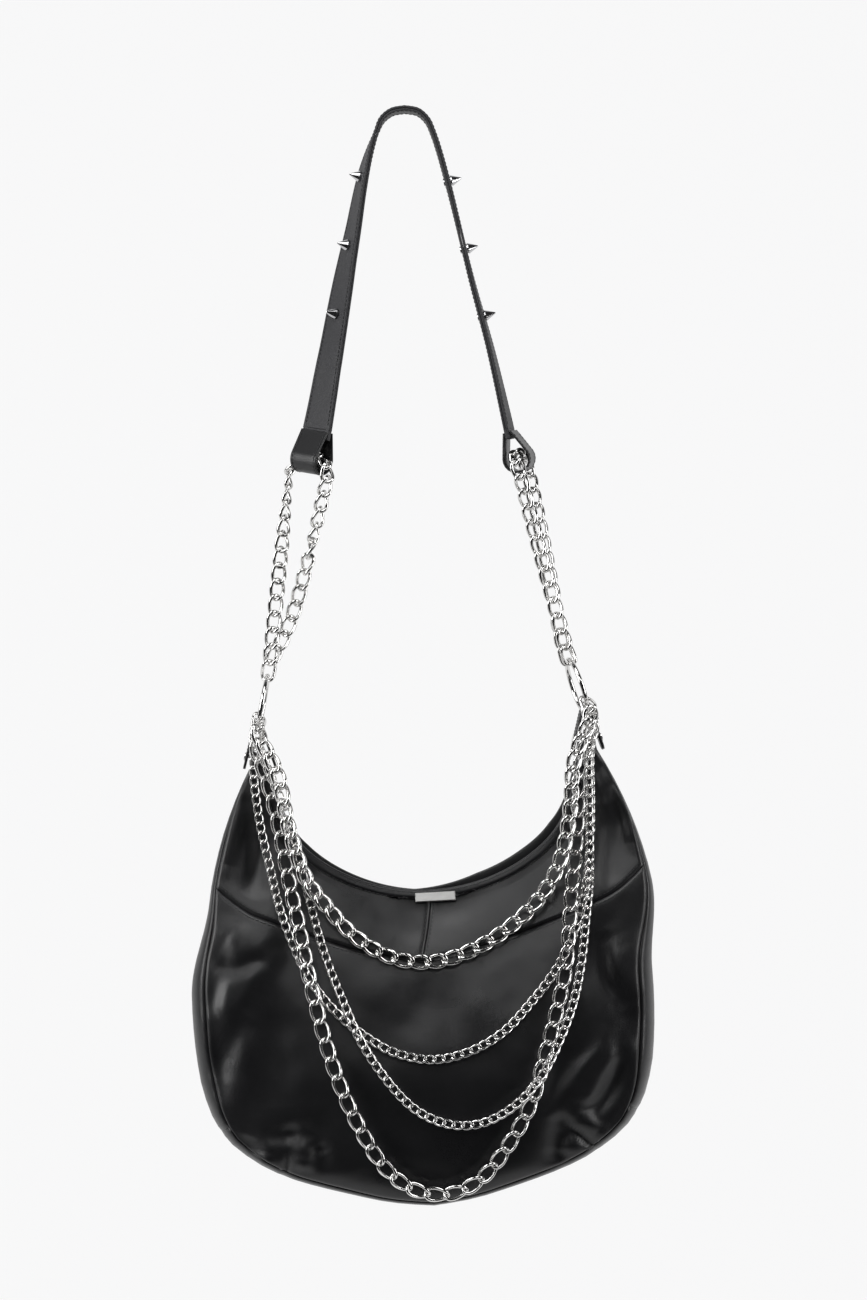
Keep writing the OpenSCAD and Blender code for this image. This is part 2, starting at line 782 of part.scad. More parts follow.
module tab_right() {
    color(black) at_tab(1) tab();
}
// A rivet through both legs of a tab and the peak between them
module tab_rivets() {
    level = tab_leg * rivet_share;
    reach = (tab_eye + tab_t) / cos(tab_spread) + level * tan(tab_spread);
    color(metal)
        for (side = [-1, 1])
            at_tab(side) {
                tab_rivet_place()
                    cylinder(h = 2 * reach, d = rivet_w, center = true);
                for (s = [-1, 1])
                    translate([s * reach, 0, -level])
                        rotate([0, -s * tab_spread, 0])
                            translate([s * (rivet_head_h / 2 + seat_gap / 2), 0, 0])
                                rotate([0, 90, 0])
                                    cylinder(h = rivet_head_h, d = rivet_head_w, center = true);
            }
}

yoke_cols = 12;
yoke_rows = 16;
panel_cols = 24;
panel_rows = 12;
outline_steps = 36;

// The body's right outline from the mouth's end over the peak to the middle of the base
outline = concat(
    [[rim_end_share * half_w, rim_z(rim_end_share * half_w)]],
    even(smooth([for (q = side_shares) [q[1] * half_w, peak_z - bag_h * q[0]]], 4),
        outline_steps - 1)
);
function outline_out(i) =
    let (d = unit(outline[min(outline_steps, i + 1)] - outline[max(0, i - 1)]))
    i == outline_steps ? [0, -1] : [-d.y, d.x];
function outline_inset(i) = half_w * lookup(height_share(outline[i].y), inset_shares);
panel_edge = [for (i = [0 : outline_steps]) outline[i] - outline_inset(i) * outline_out(i)];
function index_at(z) = lookup(-z, [for (i = [1 : outline_steps]) [-outline[i].y, i]]);
seam_index = round(index_at(peak_z - bag_h * seam_shares[0].y));
corner_index = round(index_at(peak_z - bag_h * corner_share));
function part_of(p, i, j) = [for (k = [i : j]) p[k]];

// The yoke seam from the middle to the right-hand side
half_seam = even(smooth(concat(
    [for (k = [5 : 9]) [seam_shares[k].x * half_w, peak_z - bag_h * seam_shares[k].y]],
    [panel_edge[seam_index]]), 4), yoke_cols);

// Drawn in a little from its own edges, so that pieces meet with a seam between
function eased(grid, by) =
    let (
        m = len(grid) - 1, n = len(grid[0]) - 1,
        c = grid[round(m / 2)][round(n / 2)],
        k = 1 - 4 * by / norm(grid[m][0] - grid[0][n])
    )
    [for (row = grid) [for (p = row) c + k * (p - c)]];

// A panel of the front: the grid laid on the body and its inside face
module panel_skin(grid, in, thick, lean) {
    skin(
        [for (row = grid) [for (p = row) on_front_leaning(p, in, lean)]],
        [for (row = grid) [for (p = row) on_front_leaning(p, in + thick, lean)]]
    );
}
function on_front_leaning(p, in, lean) =
    [p.x + lean * sway(p.y), in - half_depth(p.x, p.y), p.y];

// A line moved down from the mouth's edge, to where the yokes begin
function below_rim(p) = [for (i = [0 : len(p) - 1]) p[i] - (rim_h + 3 * seam_gap) * line_out(p, i)];
// Right-hand yoke, between the mouth, the outer edge and the seam
function yoke_grid() =
    let (
        mouth = reversed(below_rim(rim_line(3 * yoke_rows))),
        inner = even(concat(mouth, [half_seam[0]]), yoke_rows),
        outer = even(part_of(panel_edge, 1, seam_index), yoke_rows),
        top = [for (i = [0 : yoke_cols]) mix(inner[0], outer[0], i / yoke_cols)]
    )
    eased(filled(top, half_seam, inner, outer), seam_gap);
module yoke_right(lean) {
    panel_skin(yoke_grid(), 0, leather, lean);
}
module yoke(side) {
    if (side > 0)
        yoke_right(1);
    else
        mirror([1, 0, 0]) yoke_right(-1);
}

function full_seam() = concat(mirror_line(reversed(half_seam)), part_of(half_seam, 1, yoke_cols));
function lower_grid(cols, rows) =
    let (
        right = even(part_of(panel_edge, seam_index, corner_index), rows),
        right_base = part_of(panel_edge, corner_index, outline_steps),
        base = concat(mirror_line(right_base), part_of(reversed(right_base), 1,
            outline_steps - corner_index))
    )
    eased(filled(even(full_seam(), cols), even(base, cols), mirror_line(right), right), seam_gap);
module lower_panel() {
    panel_skin(lower_grid(panel_cols, panel_rows), 0, leather, 1);
}

// Side and base pieces, which bow out between the panels' edges
gusset_cols = 6;
gusset_bow = 0.6;
function gusset_point(i, w, in, lean, k) =
    let (
        o = outline[i], e = panel_edge[i],
        h = half_depth(e.x, e.y) - leather - 2 * seam_gap,
        flat = e + (o - e) * pow(max(0, 1 - w * w), gusset_bow) - in * outline_out(i)
    )
    [k * (flat.x) + lean * sway(flat.y), w * h, flat.y];
module gusset_right_solid(lean, first, last) {
    skin(
        [
            for (i = [first : last])
                [for (c = [0 : gusset_cols]) gusset_point(i, 2 * c / gusset_cols - 1, 0, lean, 1)]
        ],
        [
            for (i = [first : last])
                [for (c = [0 : gusset_cols])
                    gusset_point(i, 2 * c / gusset_cols - 1, leather, lean, 1)]
        ]
    );
}
module side_gusset(side) {
    difference() {
        if (side > 0)
            gusset_right_solid(1, 0, corner_index - 1);
        else
            mirror([1, 0, 0]) gusset_right_solid(-1, 0, corner_index - 1);
        in_tab_frame(side)
            tab_rivet_place()
                cylinder(h = 3 * tab_leg, d = rivet_w + seam_gap, center = true);
    }
}

module yoke_front_left() {
    color(hide) hung() yoke(-1);
}
module yoke_front_right() {
    color(hide) hung() yoke(1);
}
module panel_front() {
    color(black) hung() lower_panel();
}
module yoke_back_left() {
    color(hide) hung() mirror([0, 1, 0]) yoke(-1);
}
module yoke_back_right() {
    color(hide) hung() mirror([0, 1, 0]) yoke(1);
}
module panel_back() {
    color(black) hung() mirror([0, 1, 0]) lower_panel();
}
module gusset_left() {
    color(hide) hung() side_gusset(-1);
}
module gusset_right() {
    color(hide) hung() side_gusset(1);
}
// The base runs from one side gusset to the other, a seam's gap from each
module base() {
    right = [for (i = [corner_index - 1 : outline_steps]) i];
    function base_row(i, in, k) = [
        for (c = [0 : gusset_cols])
            let (w = 2 * c / gusset_cols - 1, p = gusset_point(i, w, in, 0, 1))
            [k * (p.x - (i == corner_index - 1 ? seam_gap : 0)) + sway(p.z), p.y,
                p.z - (i == corner_index - 1 ? 2 * seam_gap : 0)]
    ];
    rows = concat(
        [for (i = right) [i, 1]],
        [for (k = [1 : len(right) - 1]) [right[len(right) - 1 - k], -1]]
    );
    color(hide)
        hung()
            skin(
                [for (r = rows) base_row(r[0], 0, r[1])],
                [for (r = rows) base_row(r[0], leather, r[1])]
            );
}

// The cloth lining of the full part, cut like the panels
lining_t = 0.8;
lining_gap = 0.9;
lining_cols = 16;
lining_rows = 8;
lining_clear = 11;
module lining_half() {
    panel_skin(eased(lower_grid(lining_cols, lining_rows), lining_clear),
        leather + lining_gap, lining_t, 1);
}
module lining() {
    color(cloth)
        hung() {
            lining_half();
            mirror([0, 1, 0]) lining_half();
        }
}

rim_steps = 26;
rim_h = 7;
tape_t = 0.8;
tooth_w = 5;
tooth_l = 2;
tooth_h = 2.2;
zip_end_share = 0.9;
zip_sink = 6;

// The mouth's line across its whole width, with its own downward normal
function mouth_line(n) =
    let (right = rim_line(3 * n))
    even(concat(mirror_line(reversed(right)), part_of(right, 1, 3 * n)), n);
function line_out(p, i) =
    let (d = unit(p[min(len(p) - 1, i + 1)] - p[max(0, i - 1)]))
    [-d.y, d.x];
// A band along the mouth. Each corner of its section is [k, in, h]: h is the height
// off the mouth's edge, k is 1 where in counts from the body's surface, 0 from its middle
module mouth_band(corners, share) {
    whole = mouth_line(2 * rim_steps);
    cut = round((1 - share) * rim_steps);
    line = part_of(whole, cut, 2 * rim_steps - cut);
    tube_through([
        for (i = [0 : len(line) - 1])
            let (n = line_out(line, i))
            [
                for (c = corners)
                    let (p = line[i] + c.z * n)
                    [p.x + sway(p.y), c.y - c.x * half_depth(p.x, p.y), p.y]
            ]
    ]);
}
// A turned-over edge along the mouth
module rim() {
    mouth_band([
        [1, 0, -rim_h], [1, 0, -rim_h / 2], [1, edge_chamfer / 2, 0],
        [1, leather - edge_chamfer / 2, 0], [1, leather, -rim_h / 2], [1, leather, -rim_h]
    ], 1);
}
module rim_front() {
    color(black) hung() rim();
}
module rim_back() {
    color(black) hung() mirror([0, 1, 0]) rim();
}

module zip_tapes() {
    in = leather + seam_gap;
    color(cloth)
        hung()
            for (s = [0, 1])
                mirror([0, s, 0])
                    mouth_band([
                        [1, in, -zip_sink - tape_t], [1, in, -zip_sink],
                        [0, -seam_gap / 2, -zip_sink], [0, -seam_gap / 2, -zip_sink - tape_t]
                    ], zip_end_share);
}

function zip_line() =
    let (
        whole = mouth_line(4 * rim_steps),
        cut = round((1 - zip_end_share) * 2 * rim_steps),
        line = part_of(whole, cut, 4 * rim_steps - cut),
        table = run_table(line),
        total = table[len(line) - 1][0]
    )
    [line, table, total];
// Children stand on the closed zip at a distance along it, X following the zip
module on_zip(s) {
    z = zip_line();
    p = at_run(z[0], z[1], s - probe);
    q = at_run(z[0], z[1], s + probe);
    c = (p + q) / 2;
    a = atan2(q.y - p.y, q.x - p.x);
    translate([c.x + sway(c.y), 0, c.y])
        rotate([0, -a, 0])
            children();
}
slider_l = 11;
slider_w = 9;
slider_t = 1.2;
slider_place = -36;
slider_gap = 0.6;
module zip_teeth() {
    total = zip_line()[2];
    count = floor((total - 2 * probe) / tooth_pitch);
    color(metal)
        hung()
            for (k = [1 : count - 1])
                on_zip(probe + k * tooth_pitch)
                    translate([0, 0, -zip_sink + tooth_h / 2 + seam_gap])
                        cube([tooth_l, tooth_w, tooth_h], center = true);
}
// Children stand on the zip's arc, at an angle from its low point
module on_zip_arc(a) {
    translate([0, 0, rim_low_z + rim_r])
        rotate([0, -a, 0])
            translate([0, 0, -rim_r])
                children();
}
module zip_slider() {
    color(metal)
        hung()
            on_zip_arc(slider_place)
                translate([0, 0, -zip_sink + seam_gap + tooth_h + slider_gap]) {
                    translate([-slider_l / 2, -slider_w / 2, 0])
                        cube([slider_l, slider_w, slider_t]);
                    difference() {
                        translate([-slider_l / 4, -tooth_l / 2, 0])
                            cube([slider_l / 2, tooth_l, 2 * slider_t + tooth_h]);
                        translate([0, 0, 2 * slider_t])
                            rotate([90, 0, 0])
                                cylinder(h = slider_w, d = tooth_h, center = true);
                    }
                }
}
puller_l = 26;
puller_w = 7;
puller_t = 1.4;
puller_pin = 1.6;
// A plain puller lying along the zip, its pin through the slider's bridge
module zip_puller() {
    lift = -zip_sink + seam_gap + tooth_h + slider_gap + 2 * slider_t;
    color(metal)
        hung()
            on_zip_arc(slider_place)
                translate([0, 0, lift]) {
                    rotate([90, 0, 0])
                        cylinder(h = puller_w - puller_t, d = puller_pin, center = true);
                    difference() {
                        translate([-puller_pin / 2, -puller_w / 2, -puller_t / 2])
                            cube([puller_l, puller_w, puller_t]);
                        translate([-puller_w, -tooth_l, -puller_t])
                            cube([puller_w + slider_l / 2, 2 * tooth_l, 2 * puller_t]);
                    }
                }
}

plate_place_share = 0.02;
plate_drop = 2.5;
plate_lift = 1;
module on_plate() {
    x = plate_place_share * half_w;
    z = rim_z(x) - plate_drop - plate_h / 2;
    n = front_normal(x, z);
    hung()
        translate([x + sway(z), -half_depth(x, z), z])
            rotate([-asin(n.z), 0, 0])
                rotate([90, 0, 0])
                    children();
}
module name_plate() {
    e = edge_chamfer;
    color(metal)
        on_plate()
            translate([0, 0, plate_lift])
                intersection() {
                    translate([-plate_w / 2, -plate_h / 2, 0])
                        cube([plate_w, plate_h, plate_t]);
                    rotate([90, 0, 90])
                        linear_extrude(height = plate_w, center = true)
                            polygon([
                                [-plate_h / 2, 0], [plate_h / 2, 0],
                                [plate_h / 2, plate_t - e], [plate_h / 2 - e, plate_t],
                                [e - plate_h / 2, plate_t], [-plate_h / 2, plate_t - e]
                            ]);
                    rotate([90, 0, 0])
                        linear_extrude(height = plate_h, center = true)
                            polygon([
                                [-plate_w / 2, 0], [plate_w / 2, 0],
                                [plate_w / 2, plate_t - e], [plate_w / 2 - e, plate_t],
                                [e - plate_w / 2, plate_t], [-plate_w / 2, plate_t - e]
                            ]);
                }
}
// Two flat prongs under the plate
prong_w = 3;
prong_t = 0.8;
module plate_posts() {
    color(metal)
        on_plate()
            for (s = [-1, 1])
                translate([s * plate_w / 4 - prong_w / 2, -prong_t / 2, 1.3 * seat_gap])
                    cube([prong_w, prong_t, plate_lift - 1.6 * seat_gap]);
}

module swag_top() {
    color(metal)
        swag(top_shares, top_angle, stout_wire, stout_w, stout_l, stout_w, stout_l);
}
module swag_fine_upper() {
    color(metal)
        swag(fine_upper_shares, fine_upper_angle, fine_wire, fine_w, fine_l, end_w, end_l);
}
module swag_fine_lower() {
    color(metal)
        swag(fine_lower_shares, fine_lower_angle, fine_wire, fine_w, fine_l, end_w, end_l);
}
module swag_open() {
    color(metal)
        swag(open_shares, open_angle, open_wire, open_w, open_l, open_w, open_l);
}

strap_outer();
strap_inner();
cone_studs();
stud_screws();
loop_left();
loop_right();
strap_chain_left();
strap_chain_right();
ring_left();
ring_right();
tab_left();
tab_right();
tab_rivets();
yoke_front_left();
yoke_front_right();
panel_front();
yoke_back_left();
yoke_back_right();
panel_back();
gusset_left();
gusset_right();
base();
lining();
rim_front();
rim_back();
zip_tapes();
zip_teeth();
zip_slider();
zip_puller();
name_plate();
plate_posts();
swag_top();
swag_fine_upper();
swag_fine_lower();
swag_open();
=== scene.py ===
import math

import bpy
import numpy as np
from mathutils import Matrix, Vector


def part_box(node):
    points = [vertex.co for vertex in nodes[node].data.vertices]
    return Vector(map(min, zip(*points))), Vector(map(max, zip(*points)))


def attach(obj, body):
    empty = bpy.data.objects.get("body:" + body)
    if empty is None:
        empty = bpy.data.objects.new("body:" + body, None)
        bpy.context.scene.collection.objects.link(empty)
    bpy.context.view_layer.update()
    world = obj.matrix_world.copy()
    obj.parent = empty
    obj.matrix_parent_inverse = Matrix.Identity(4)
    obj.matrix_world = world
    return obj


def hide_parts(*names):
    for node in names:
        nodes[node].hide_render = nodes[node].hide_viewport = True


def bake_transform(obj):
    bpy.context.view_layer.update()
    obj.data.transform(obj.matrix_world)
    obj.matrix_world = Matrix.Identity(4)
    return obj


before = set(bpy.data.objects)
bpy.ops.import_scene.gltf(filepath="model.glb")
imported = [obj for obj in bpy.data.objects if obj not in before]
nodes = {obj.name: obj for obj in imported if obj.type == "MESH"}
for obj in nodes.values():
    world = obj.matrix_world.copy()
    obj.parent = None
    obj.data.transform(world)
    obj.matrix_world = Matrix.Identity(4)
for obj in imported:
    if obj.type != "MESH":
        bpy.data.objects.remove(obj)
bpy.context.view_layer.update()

scene = bpy.context.scene
print("frame loaded:", len(nodes), "nodes")

# the camera, level with the picture's middle, in metres
shot = {
    "centre": (0.0234, 0.0, -0.441),
    "distance": 4.0,
    "viewHeight": 1.066,
    "sensor": 24.0,
}


def makeCamera():
    data = bpy.data.cameras.new("shotCamera")
    data.sensor_fit = "VERTICAL"
    data.sensor_height = shot["sensor"]
    data.lens = shot["sensor"] * shot["distance"] / shot["viewHeight"]
    data.clip_end = 50
    cam = bpy.data.objects.new("shotCamera", data)
    x, y, z = shot["centre"]
    cam.location = (x, y - shot["distance"], z)
    cam.rotation_euler = (math.radians(90), 0, 0)
    scene.collection.objects.link(cam)
    scene.camera = cam


makeCamera()
scene.view_settings.view_transform = "Standard"
print("camera set")


def blankMaterial(name):
    mat = bpy.data.materials.new(name)
    mat.use_nodes = True
    mat.node_tree.nodes.clear()
    return mat, mat.node_tree


def fillSocket(tree, socket, value):
    if isinstance(value, bpy.types.NodeSocket):
        tree.links.new(value, socket)
    elif socket.type == "RGBA" and len(value) == 3:
        socket.default_value = (*value, 1)
    else:
        socket.default_value = value


def setInputs(tree, node, **values):
    for key, value in values.items():
        fillSocket(tree, node.inputs[key.replace("_", " ")], value)


# a named value is a setting of the node if it has one of that name, or else an input
def addNode(tree, kind, spot=(0, 0), **values):
    node = tree.nodes.new(kind)
    node.location = spot
    for key, value in values.items():
        if hasattr(node, key):
            setattr(node, key, value)
        else:
            setInputs(tree, node, **{key: value})
    return node


# a node whose first inputs are given in their order
def orderedNode(tree, kind, spot, inputs, **settings):
    node = addNode(tree, kind, spot, **settings)
    for socket, value in zip(node.inputs, inputs):
        if value is not None:
            fillSocket(tree, socket, value)
    return node.outputs[0]


def mathNode(tree, operation, a, b=None, spot=(0, 0)):
    return orderedNode(tree, "ShaderNodeMath", spot, (a, b), operation=operation)


def mixShaders(tree, factor, a, b, spot):
    return orderedNode(tree, "ShaderNodeMixShader", spot, (factor, a, b))


def mixColour(tree, factor, a, b, spot=(0, 0)):
    node = addNode(tree, "ShaderNodeMix", spot, data_type="RGBA")
    for index, value in ((0, factor), (6, a), (7, b)):
        fillSocket(tree, node.inputs[index], value)
    return node.outputs[2]


def ramp(tree, value, low, high, to=(0.0, 1.0), spot=(0, 0)):
    return addNode(tree, "ShaderNodeMapRange", spot, Value=value, From_Min=low, From_Max=high,
                   To_Min=to[0], To_Max=to[1]).outputs[0]


def objectPlace(tree, spot):
    return addNode(tree, "ShaderNodeTexCoord", spot).outputs["Object"]


def noiseNode(tree, spot, place, **values):
    return addNode(tree, "ShaderNodeTexNoise", spot, Vector=place, **values)


def newGroup(name, inputs, outputs):
    group = bpy.data.node_groups.new(name, "ShaderNodeTree")
    for label, value in inputs.items():
        socket = group.interface.new_socket(name=label, in_out="INPUT",
                                            socket_type="NodeSocketFloat")
        socket.default_value = value
    for label in outputs:
        group.interface.new_socket(name=label, in_out="OUTPUT", socket_type="NodeSocketFloat")
    start = addNode(group, "NodeGroupInput", (-900, 0))
    end = addNode(group, "NodeGroupOutput", (900, 0))
    return group, start.outputs, end


def makeGrainGroup():
    tree, start, end = newGroup("leatherGrain", {"CellSize": 0.9, "Depth": 1.0, "Wrinkle": 0.5},
                                ("Height", "Pores", "Cloud"))
    place = objectPlace(tree, (-900, 300))
    perMm = mathNode(tree, "DIVIDE", 1000.0, start["CellSize"], (-700, 100))
    warp = noiseNode(tree, (-700, 400), place, Scale=320.0, Detail=2.0)
    shift = addNode(tree, "ShaderNodeVectorMath", (-520, 400), operation="SCALE", Scale=0.0009,
                    Vector=warp.outputs["Color"])
    moved = orderedNode(tree, "ShaderNodeVectorMath", (-350, 400), (place, shift.outputs[0]),
                        operation="ADD")
    cells = addNode(tree, "ShaderNodeTexVoronoi", (-150, 400), feature="DISTANCE_TO_EDGE",
                    Vector=moved, Scale=perMm)
    rounded = ramp(tree, cells.outputs["Distance"], 0.0, 0.32, spot=(50, 400))
    soft = mathNode(tree, "POWER", rounded, 0.5, (220, 400))
    fine = noiseNode(tree, (-150, 100), place, Detail=4.0, Roughness=0.6,
                     Scale=mathNode(tree, "MULTIPLY", perMm, 2.3, (-350, 100)))
    folds = noiseNode(tree, (-150, -200), place, Scale=38.0, Detail=5.0, Roughness=0.55,
                      Distortion=0.8)
    centred = mathNode(tree, "SUBTRACT", folds.outputs[0], 0.5, (50, -200))
    ridged = mathNode(tree, "ABSOLUTE", centred, None, (220, -200))
    crease = ramp(tree, ridged, 0.0, 0.09, spot=(380, -200))
    creaseHeight = mathNode(tree, "MULTIPLY", crease, start["Wrinkle"], (540, -200))
    fineHeight = mathNode(tree, "MULTIPLY", fine.outputs[0], 0.5, (220, 100))
    grain = mathNode(tree, "ADD", soft, fineHeight, (400, 300))
    deep = mathNode(tree, "MULTIPLY", grain, start["Depth"], (560, 300))
    cloud = noiseNode(tree, (-150, -500), place, Scale=11.0, Detail=4.0, Roughness=0.6)
    setInputs(tree, end, Height=mathNode(tree, "ADD", deep, creaseHeight, (720, 200)),
              Pores=soft, Cloud=cloud.outputs[0])
    return tree


def makeScuffGroup():
    tree, start, end = newGroup("fineScuffs", {"Scale": 180.0, "Amount": 0.5}, ("Mask", "Dust"))
    place = objectPlace(tree, (-700, 200))
    stretch = addNode(tree, "ShaderNodeMapping", (-520, 200), Vector=place,
                      Scale=(1.0, 1.0, 5.0), Rotation=(0.5, 0.3, 0.2))
    lines = noiseNode(tree, (-300, 200), stretch.outputs[0], Detail=6.0, Roughness=0.72,
                      Scale=start["Scale"])
    thin = ramp(tree, lines.outputs[0], 0.56, 0.72, spot=(-100, 200))
    specks = noiseNode(tree, (-300, -100), place, Scale=60.0, Detail=8.0, Roughness=0.7)
    setInputs(tree, end, Mask=mathNode(tree, "MULTIPLY", thin, start["Amount"], (100, 200)),
              Dust=ramp(tree, specks.outputs[0], 0.45, 0.8, spot=(-100, -100)))
    return tree


grainGroup = makeGrainGroup()
scuffGroup = makeScuffGroup()
print("shared effects made")


def newMaterial(name):
    mat, tree = blankMaterial(name)
    shader = addNode(tree, "ShaderNodeBsdfPrincipled", (600, 0))
    addNode(tree, "ShaderNodeOutputMaterial", (900, 0), Surface=shader.outputs[0])
    return mat, tree, shader


def finishShader(tree, shader, colour, rough, height, strength, distance, **others):
    bump = addNode(tree, "ShaderNodeBump", (200, -350), Strength=strength, Distance=distance,
                   Height=height)
    setInputs(tree, shader, Base_Color=colour, Roughness=rough, Normal=bump.outputs[0], **others)


leatherFinish = {
    "bagLeather": {"base": (0.0075, 0.0075, 0.0085), "worn": (0.02, 0.02, 0.022), "cell": 0.75,
                   "depth": 0.55, "wrinkle": 0.35, "rough": (0.25, 0.36), "bump": 0.16,
                   "distance": 0.00035, "spec": 0.5},
    "strapLeather": {"base": (0.026, 0.026, 0.029), "worn": (0.06, 0.06, 0.064), "cell": 0.9,
                     "depth": 0.5, "wrinkle": 1.5, "rough": (0.42, 0.58), "bump": 0.3,
                     "distance": 0.0005, "spec": 0.45},
    "smoothLeather": {"base": (0.009, 0.009, 0.01), "worn": (0.03, 0.03, 0.032), "cell": 0.6,
                      "depth": 0.3, "wrinkle": 0.3, "rough": (0.3, 0.4), "bump": 0.14,
                      "distance": 0.0003, "spec": 0.5},
}


def makeLeather(name):
    v = leatherFinish[name]
    mat, tree, shader = newMaterial(name)
    grain = addNode(tree, "ShaderNodeGroup", (-500, 0), node_tree=grainGroup, CellSize=v["cell"],
                    Depth=v["depth"], Wrinkle=v["wrinkle"]).outputs
    scuff = addNode(tree, "ShaderNodeGroup", (-500, -300), node_tree=scuffGroup, Scale=140.0,
                    Amount=0.6).outputs
    mask = mathNode(tree, "MULTIPLY", scuff["Mask"], grain["Cloud"], (-250, -250))
    colour = mixColour(tree, mask, v["base"], v["worn"], (-50, 150))
    rough = ramp(tree, grain["Cloud"], 0.3, 0.7, v["rough"], (-50, -100))
    hollow = mathNode(tree, "SUBTRACT", 1.0, grain["Pores"], (-200, -400))
    dull = mathNode(tree, "MULTIPLY", hollow, 0.12, (-50, -400))
    porous = mathNode(tree, "ADD", rough, dull, (200, -150))
    finishShader(tree, shader, colour, porous, grain["Height"], v["bump"], v["distance"],
                 Specular_IOR_Level=v["spec"])
    return mat


nickelFinish = {
    "polishedNickel": {"base": (0.72, 0.715, 0.705), "dull": (0.6, 0.59, 0.58),
                       "rough": (0.1, 0.2)},
    "plateMetal": {"base": (0.36, 0.358, 0.352), "dull": (0.3, 0.297, 0.292),
                   "rough": (0.38, 0.48)},
    "studMetal": {"base": (0.55, 0.55, 0.56), "dull": (0.42, 0.42, 0.43), "rough": (0.12, 0.24)},
    "darkZip": {"base": (0.03, 0.03, 0.032), "dull": (0.06, 0.06, 0.062), "rough": (0.3, 0.45)},
}


def makeNickel(name):
    v = nickelFinish[name]
    mat, tree, shader = newMaterial(name)
    scuff = addNode(tree, "ShaderNodeGroup", (-500, 0), node_tree=scuffGroup, Scale=400.0,
                    Amount=0.8).outputs
    colour = mixColour(tree, scuff["Dust"], v["base"], v["dull"], (-100, 150))
    rough = ramp(tree, scuff["Mask"], 0.0, 0.8, v["rough"], (-100, -100))
    finishShader(tree, shader, colour, rough, scuff["Mask"], 0.05, 0.0002, Metallic=1.0)
    return mat


threadFinish = {"base": (0.012, 0.012, 0.013), "light": (0.04, 0.04, 0.042), "twist": 2600.0}


def makeThread():
    v = threadFinish
    mat, tree, shader = newMaterial("blackThread")
    wave = addNode(tree, "ShaderNodeTexWave", (-450, 0), Vector=objectPlace(tree, (-700, 0)),
                   Scale=v["twist"], Distortion=1.5, bands_direction="DIAGONAL").outputs["Fac"]
    colour = mixColour(tree, wave, v["base"], v["light"], (-150, 150))
    rough = ramp(tree, wave, 0, 1, (0.5, 0.7), (-150, -100))
    finishShader(tree, shader, colour, rough, wave, 0.4, 0.0001)
    return mat


clothFinish = {
    "zipTape": {"base": (0.012, 0.012, 0.014), "light": (0.035, 0.035, 0.038), "scale": 1500.0},
    "liningCloth": {"base": (0.02, 0.02, 0.024), "light": (0.05, 0.05, 0.055), "scale": 900.0},
}


def makeCloth(name):
    v = clothFinish[name]
    mat, tree, shader = newMaterial(name)
    place = objectPlace(tree, (-900, 0))
    waves = [addNode(tree, "ShaderNodeTexWave", (-650, low), Vector=place, Scale=v["scale"],
                     Distortion=0.6, bands_direction=way).outputs["Fac"]
             for way, low in (("X", 200), ("Z", -150))]
    weave = mathNode(tree, "MAXIMUM", *waves, (-400, 0))
    colour = mixColour(tree, weave, v["base"], v["light"], (-150, 150))
    rough = ramp(tree, weave, 0, 1, (0.9, 0.7), (-150, -100))
    finishShader(tree, shader, colour, rough, weave, 0.5, 0.0002, Sheen_Weight=0.2)
    return mat


finish = {name: makeLeather(name) for name in leatherFinish}
finish.update({name: makeNickel(name) for name in nickelFinish})
finish.update({name: makeCloth(name) for name in clothFinish})
finish["blackThread"] = makeThread()
print("finishes made:", len(finish))

# the bag's surface, in millimetres, centred between the rings before it is hung
bagShape = {
    "width": 380.0, "height": 380.0, "depth": 96.0, "mouthDepth": 17.0,
    "peakDrop": 38.0, "sway": -11.0, "swayShare": 0.2, "hangAngle": 3.1,
    "ringOffset": 12.3, "ringDrop": 477.7, "ringSpan": 258.02, "ringOuter": 50.0, "ringWire": 4.0,
    "ringLean": (13.0, -15.0), "ringTurn": (0.0, 9.0),
    "rimLow": 0.32, "rimEnd": 0.675, "rimTop": 0.02, "rimBow": 0.79, "rimHeight": 7.0,
    "fullShare": 0.6, "baseDepth": 0.5, "sideDepth": 0.45, "cornerShare": 0.85,
    "sides": [(0, 0.735), (0.04, 0.752), (0.085, 0.802), (0.17, 0.876), (0.255, 0.93),
              (0.325, 0.96), (0.415, 0.985), (0.51, 1), (0.595, 1), (0.665, 0.99),
              (0.72, 0.974), (0.79, 0.93), (0.85, 0.85), (0.9, 0.715), (0.935, 0.565),
              (0.97, 0.335), (0.99, 0.17), (1, 0)],
    "insets": [(0, 0), (0.1, 0.008), (0.3, 0.026), (0.5, 0.07), (0.7, 0.07),
               (0.85, 0.045), (0.93, 0.03), (1, 0.02)],
    "seam": [(0, 0.468), (0.25, 0.443), (0.46, 0.41), (0.695, 0.365), (0.8, 0.34)],
    "seamEnd": 0.305,
}
halfWidth = bagShape["width"] / 2
bagHeight = bagShape["height"]
peakZ = -bagShape["peakDrop"]
baseZ = peakZ - bagHeight
mouthHalf = bagShape["mouthDepth"] / 2
bellyHalf = bagShape["depth"] / 2
rimRadius = bagShape["rimBow"] * halfWidth
rimEndX = bagShape["rimEnd"] * halfWidth
rimLowZ = peakZ - bagHeight * bagShape["rimLow"]
ringRadius = (bagShape["ringOuter"] - bagShape["ringWire"]) / 2
hang = math.radians(bagShape["hangAngle"])


def toRow(points):
    p = np.asarray(points, float)
    x = p[..., 0] * math.cos(hang) - p[..., 2] * math.sin(hang) + bagShape["ringOffset"]
    z = p[..., 2] * math.cos(hang) + p[..., 0] * math.sin(hang) - bagShape["ringDrop"]
    return np.stack([x, p[..., 1], z], -1) * 0.001


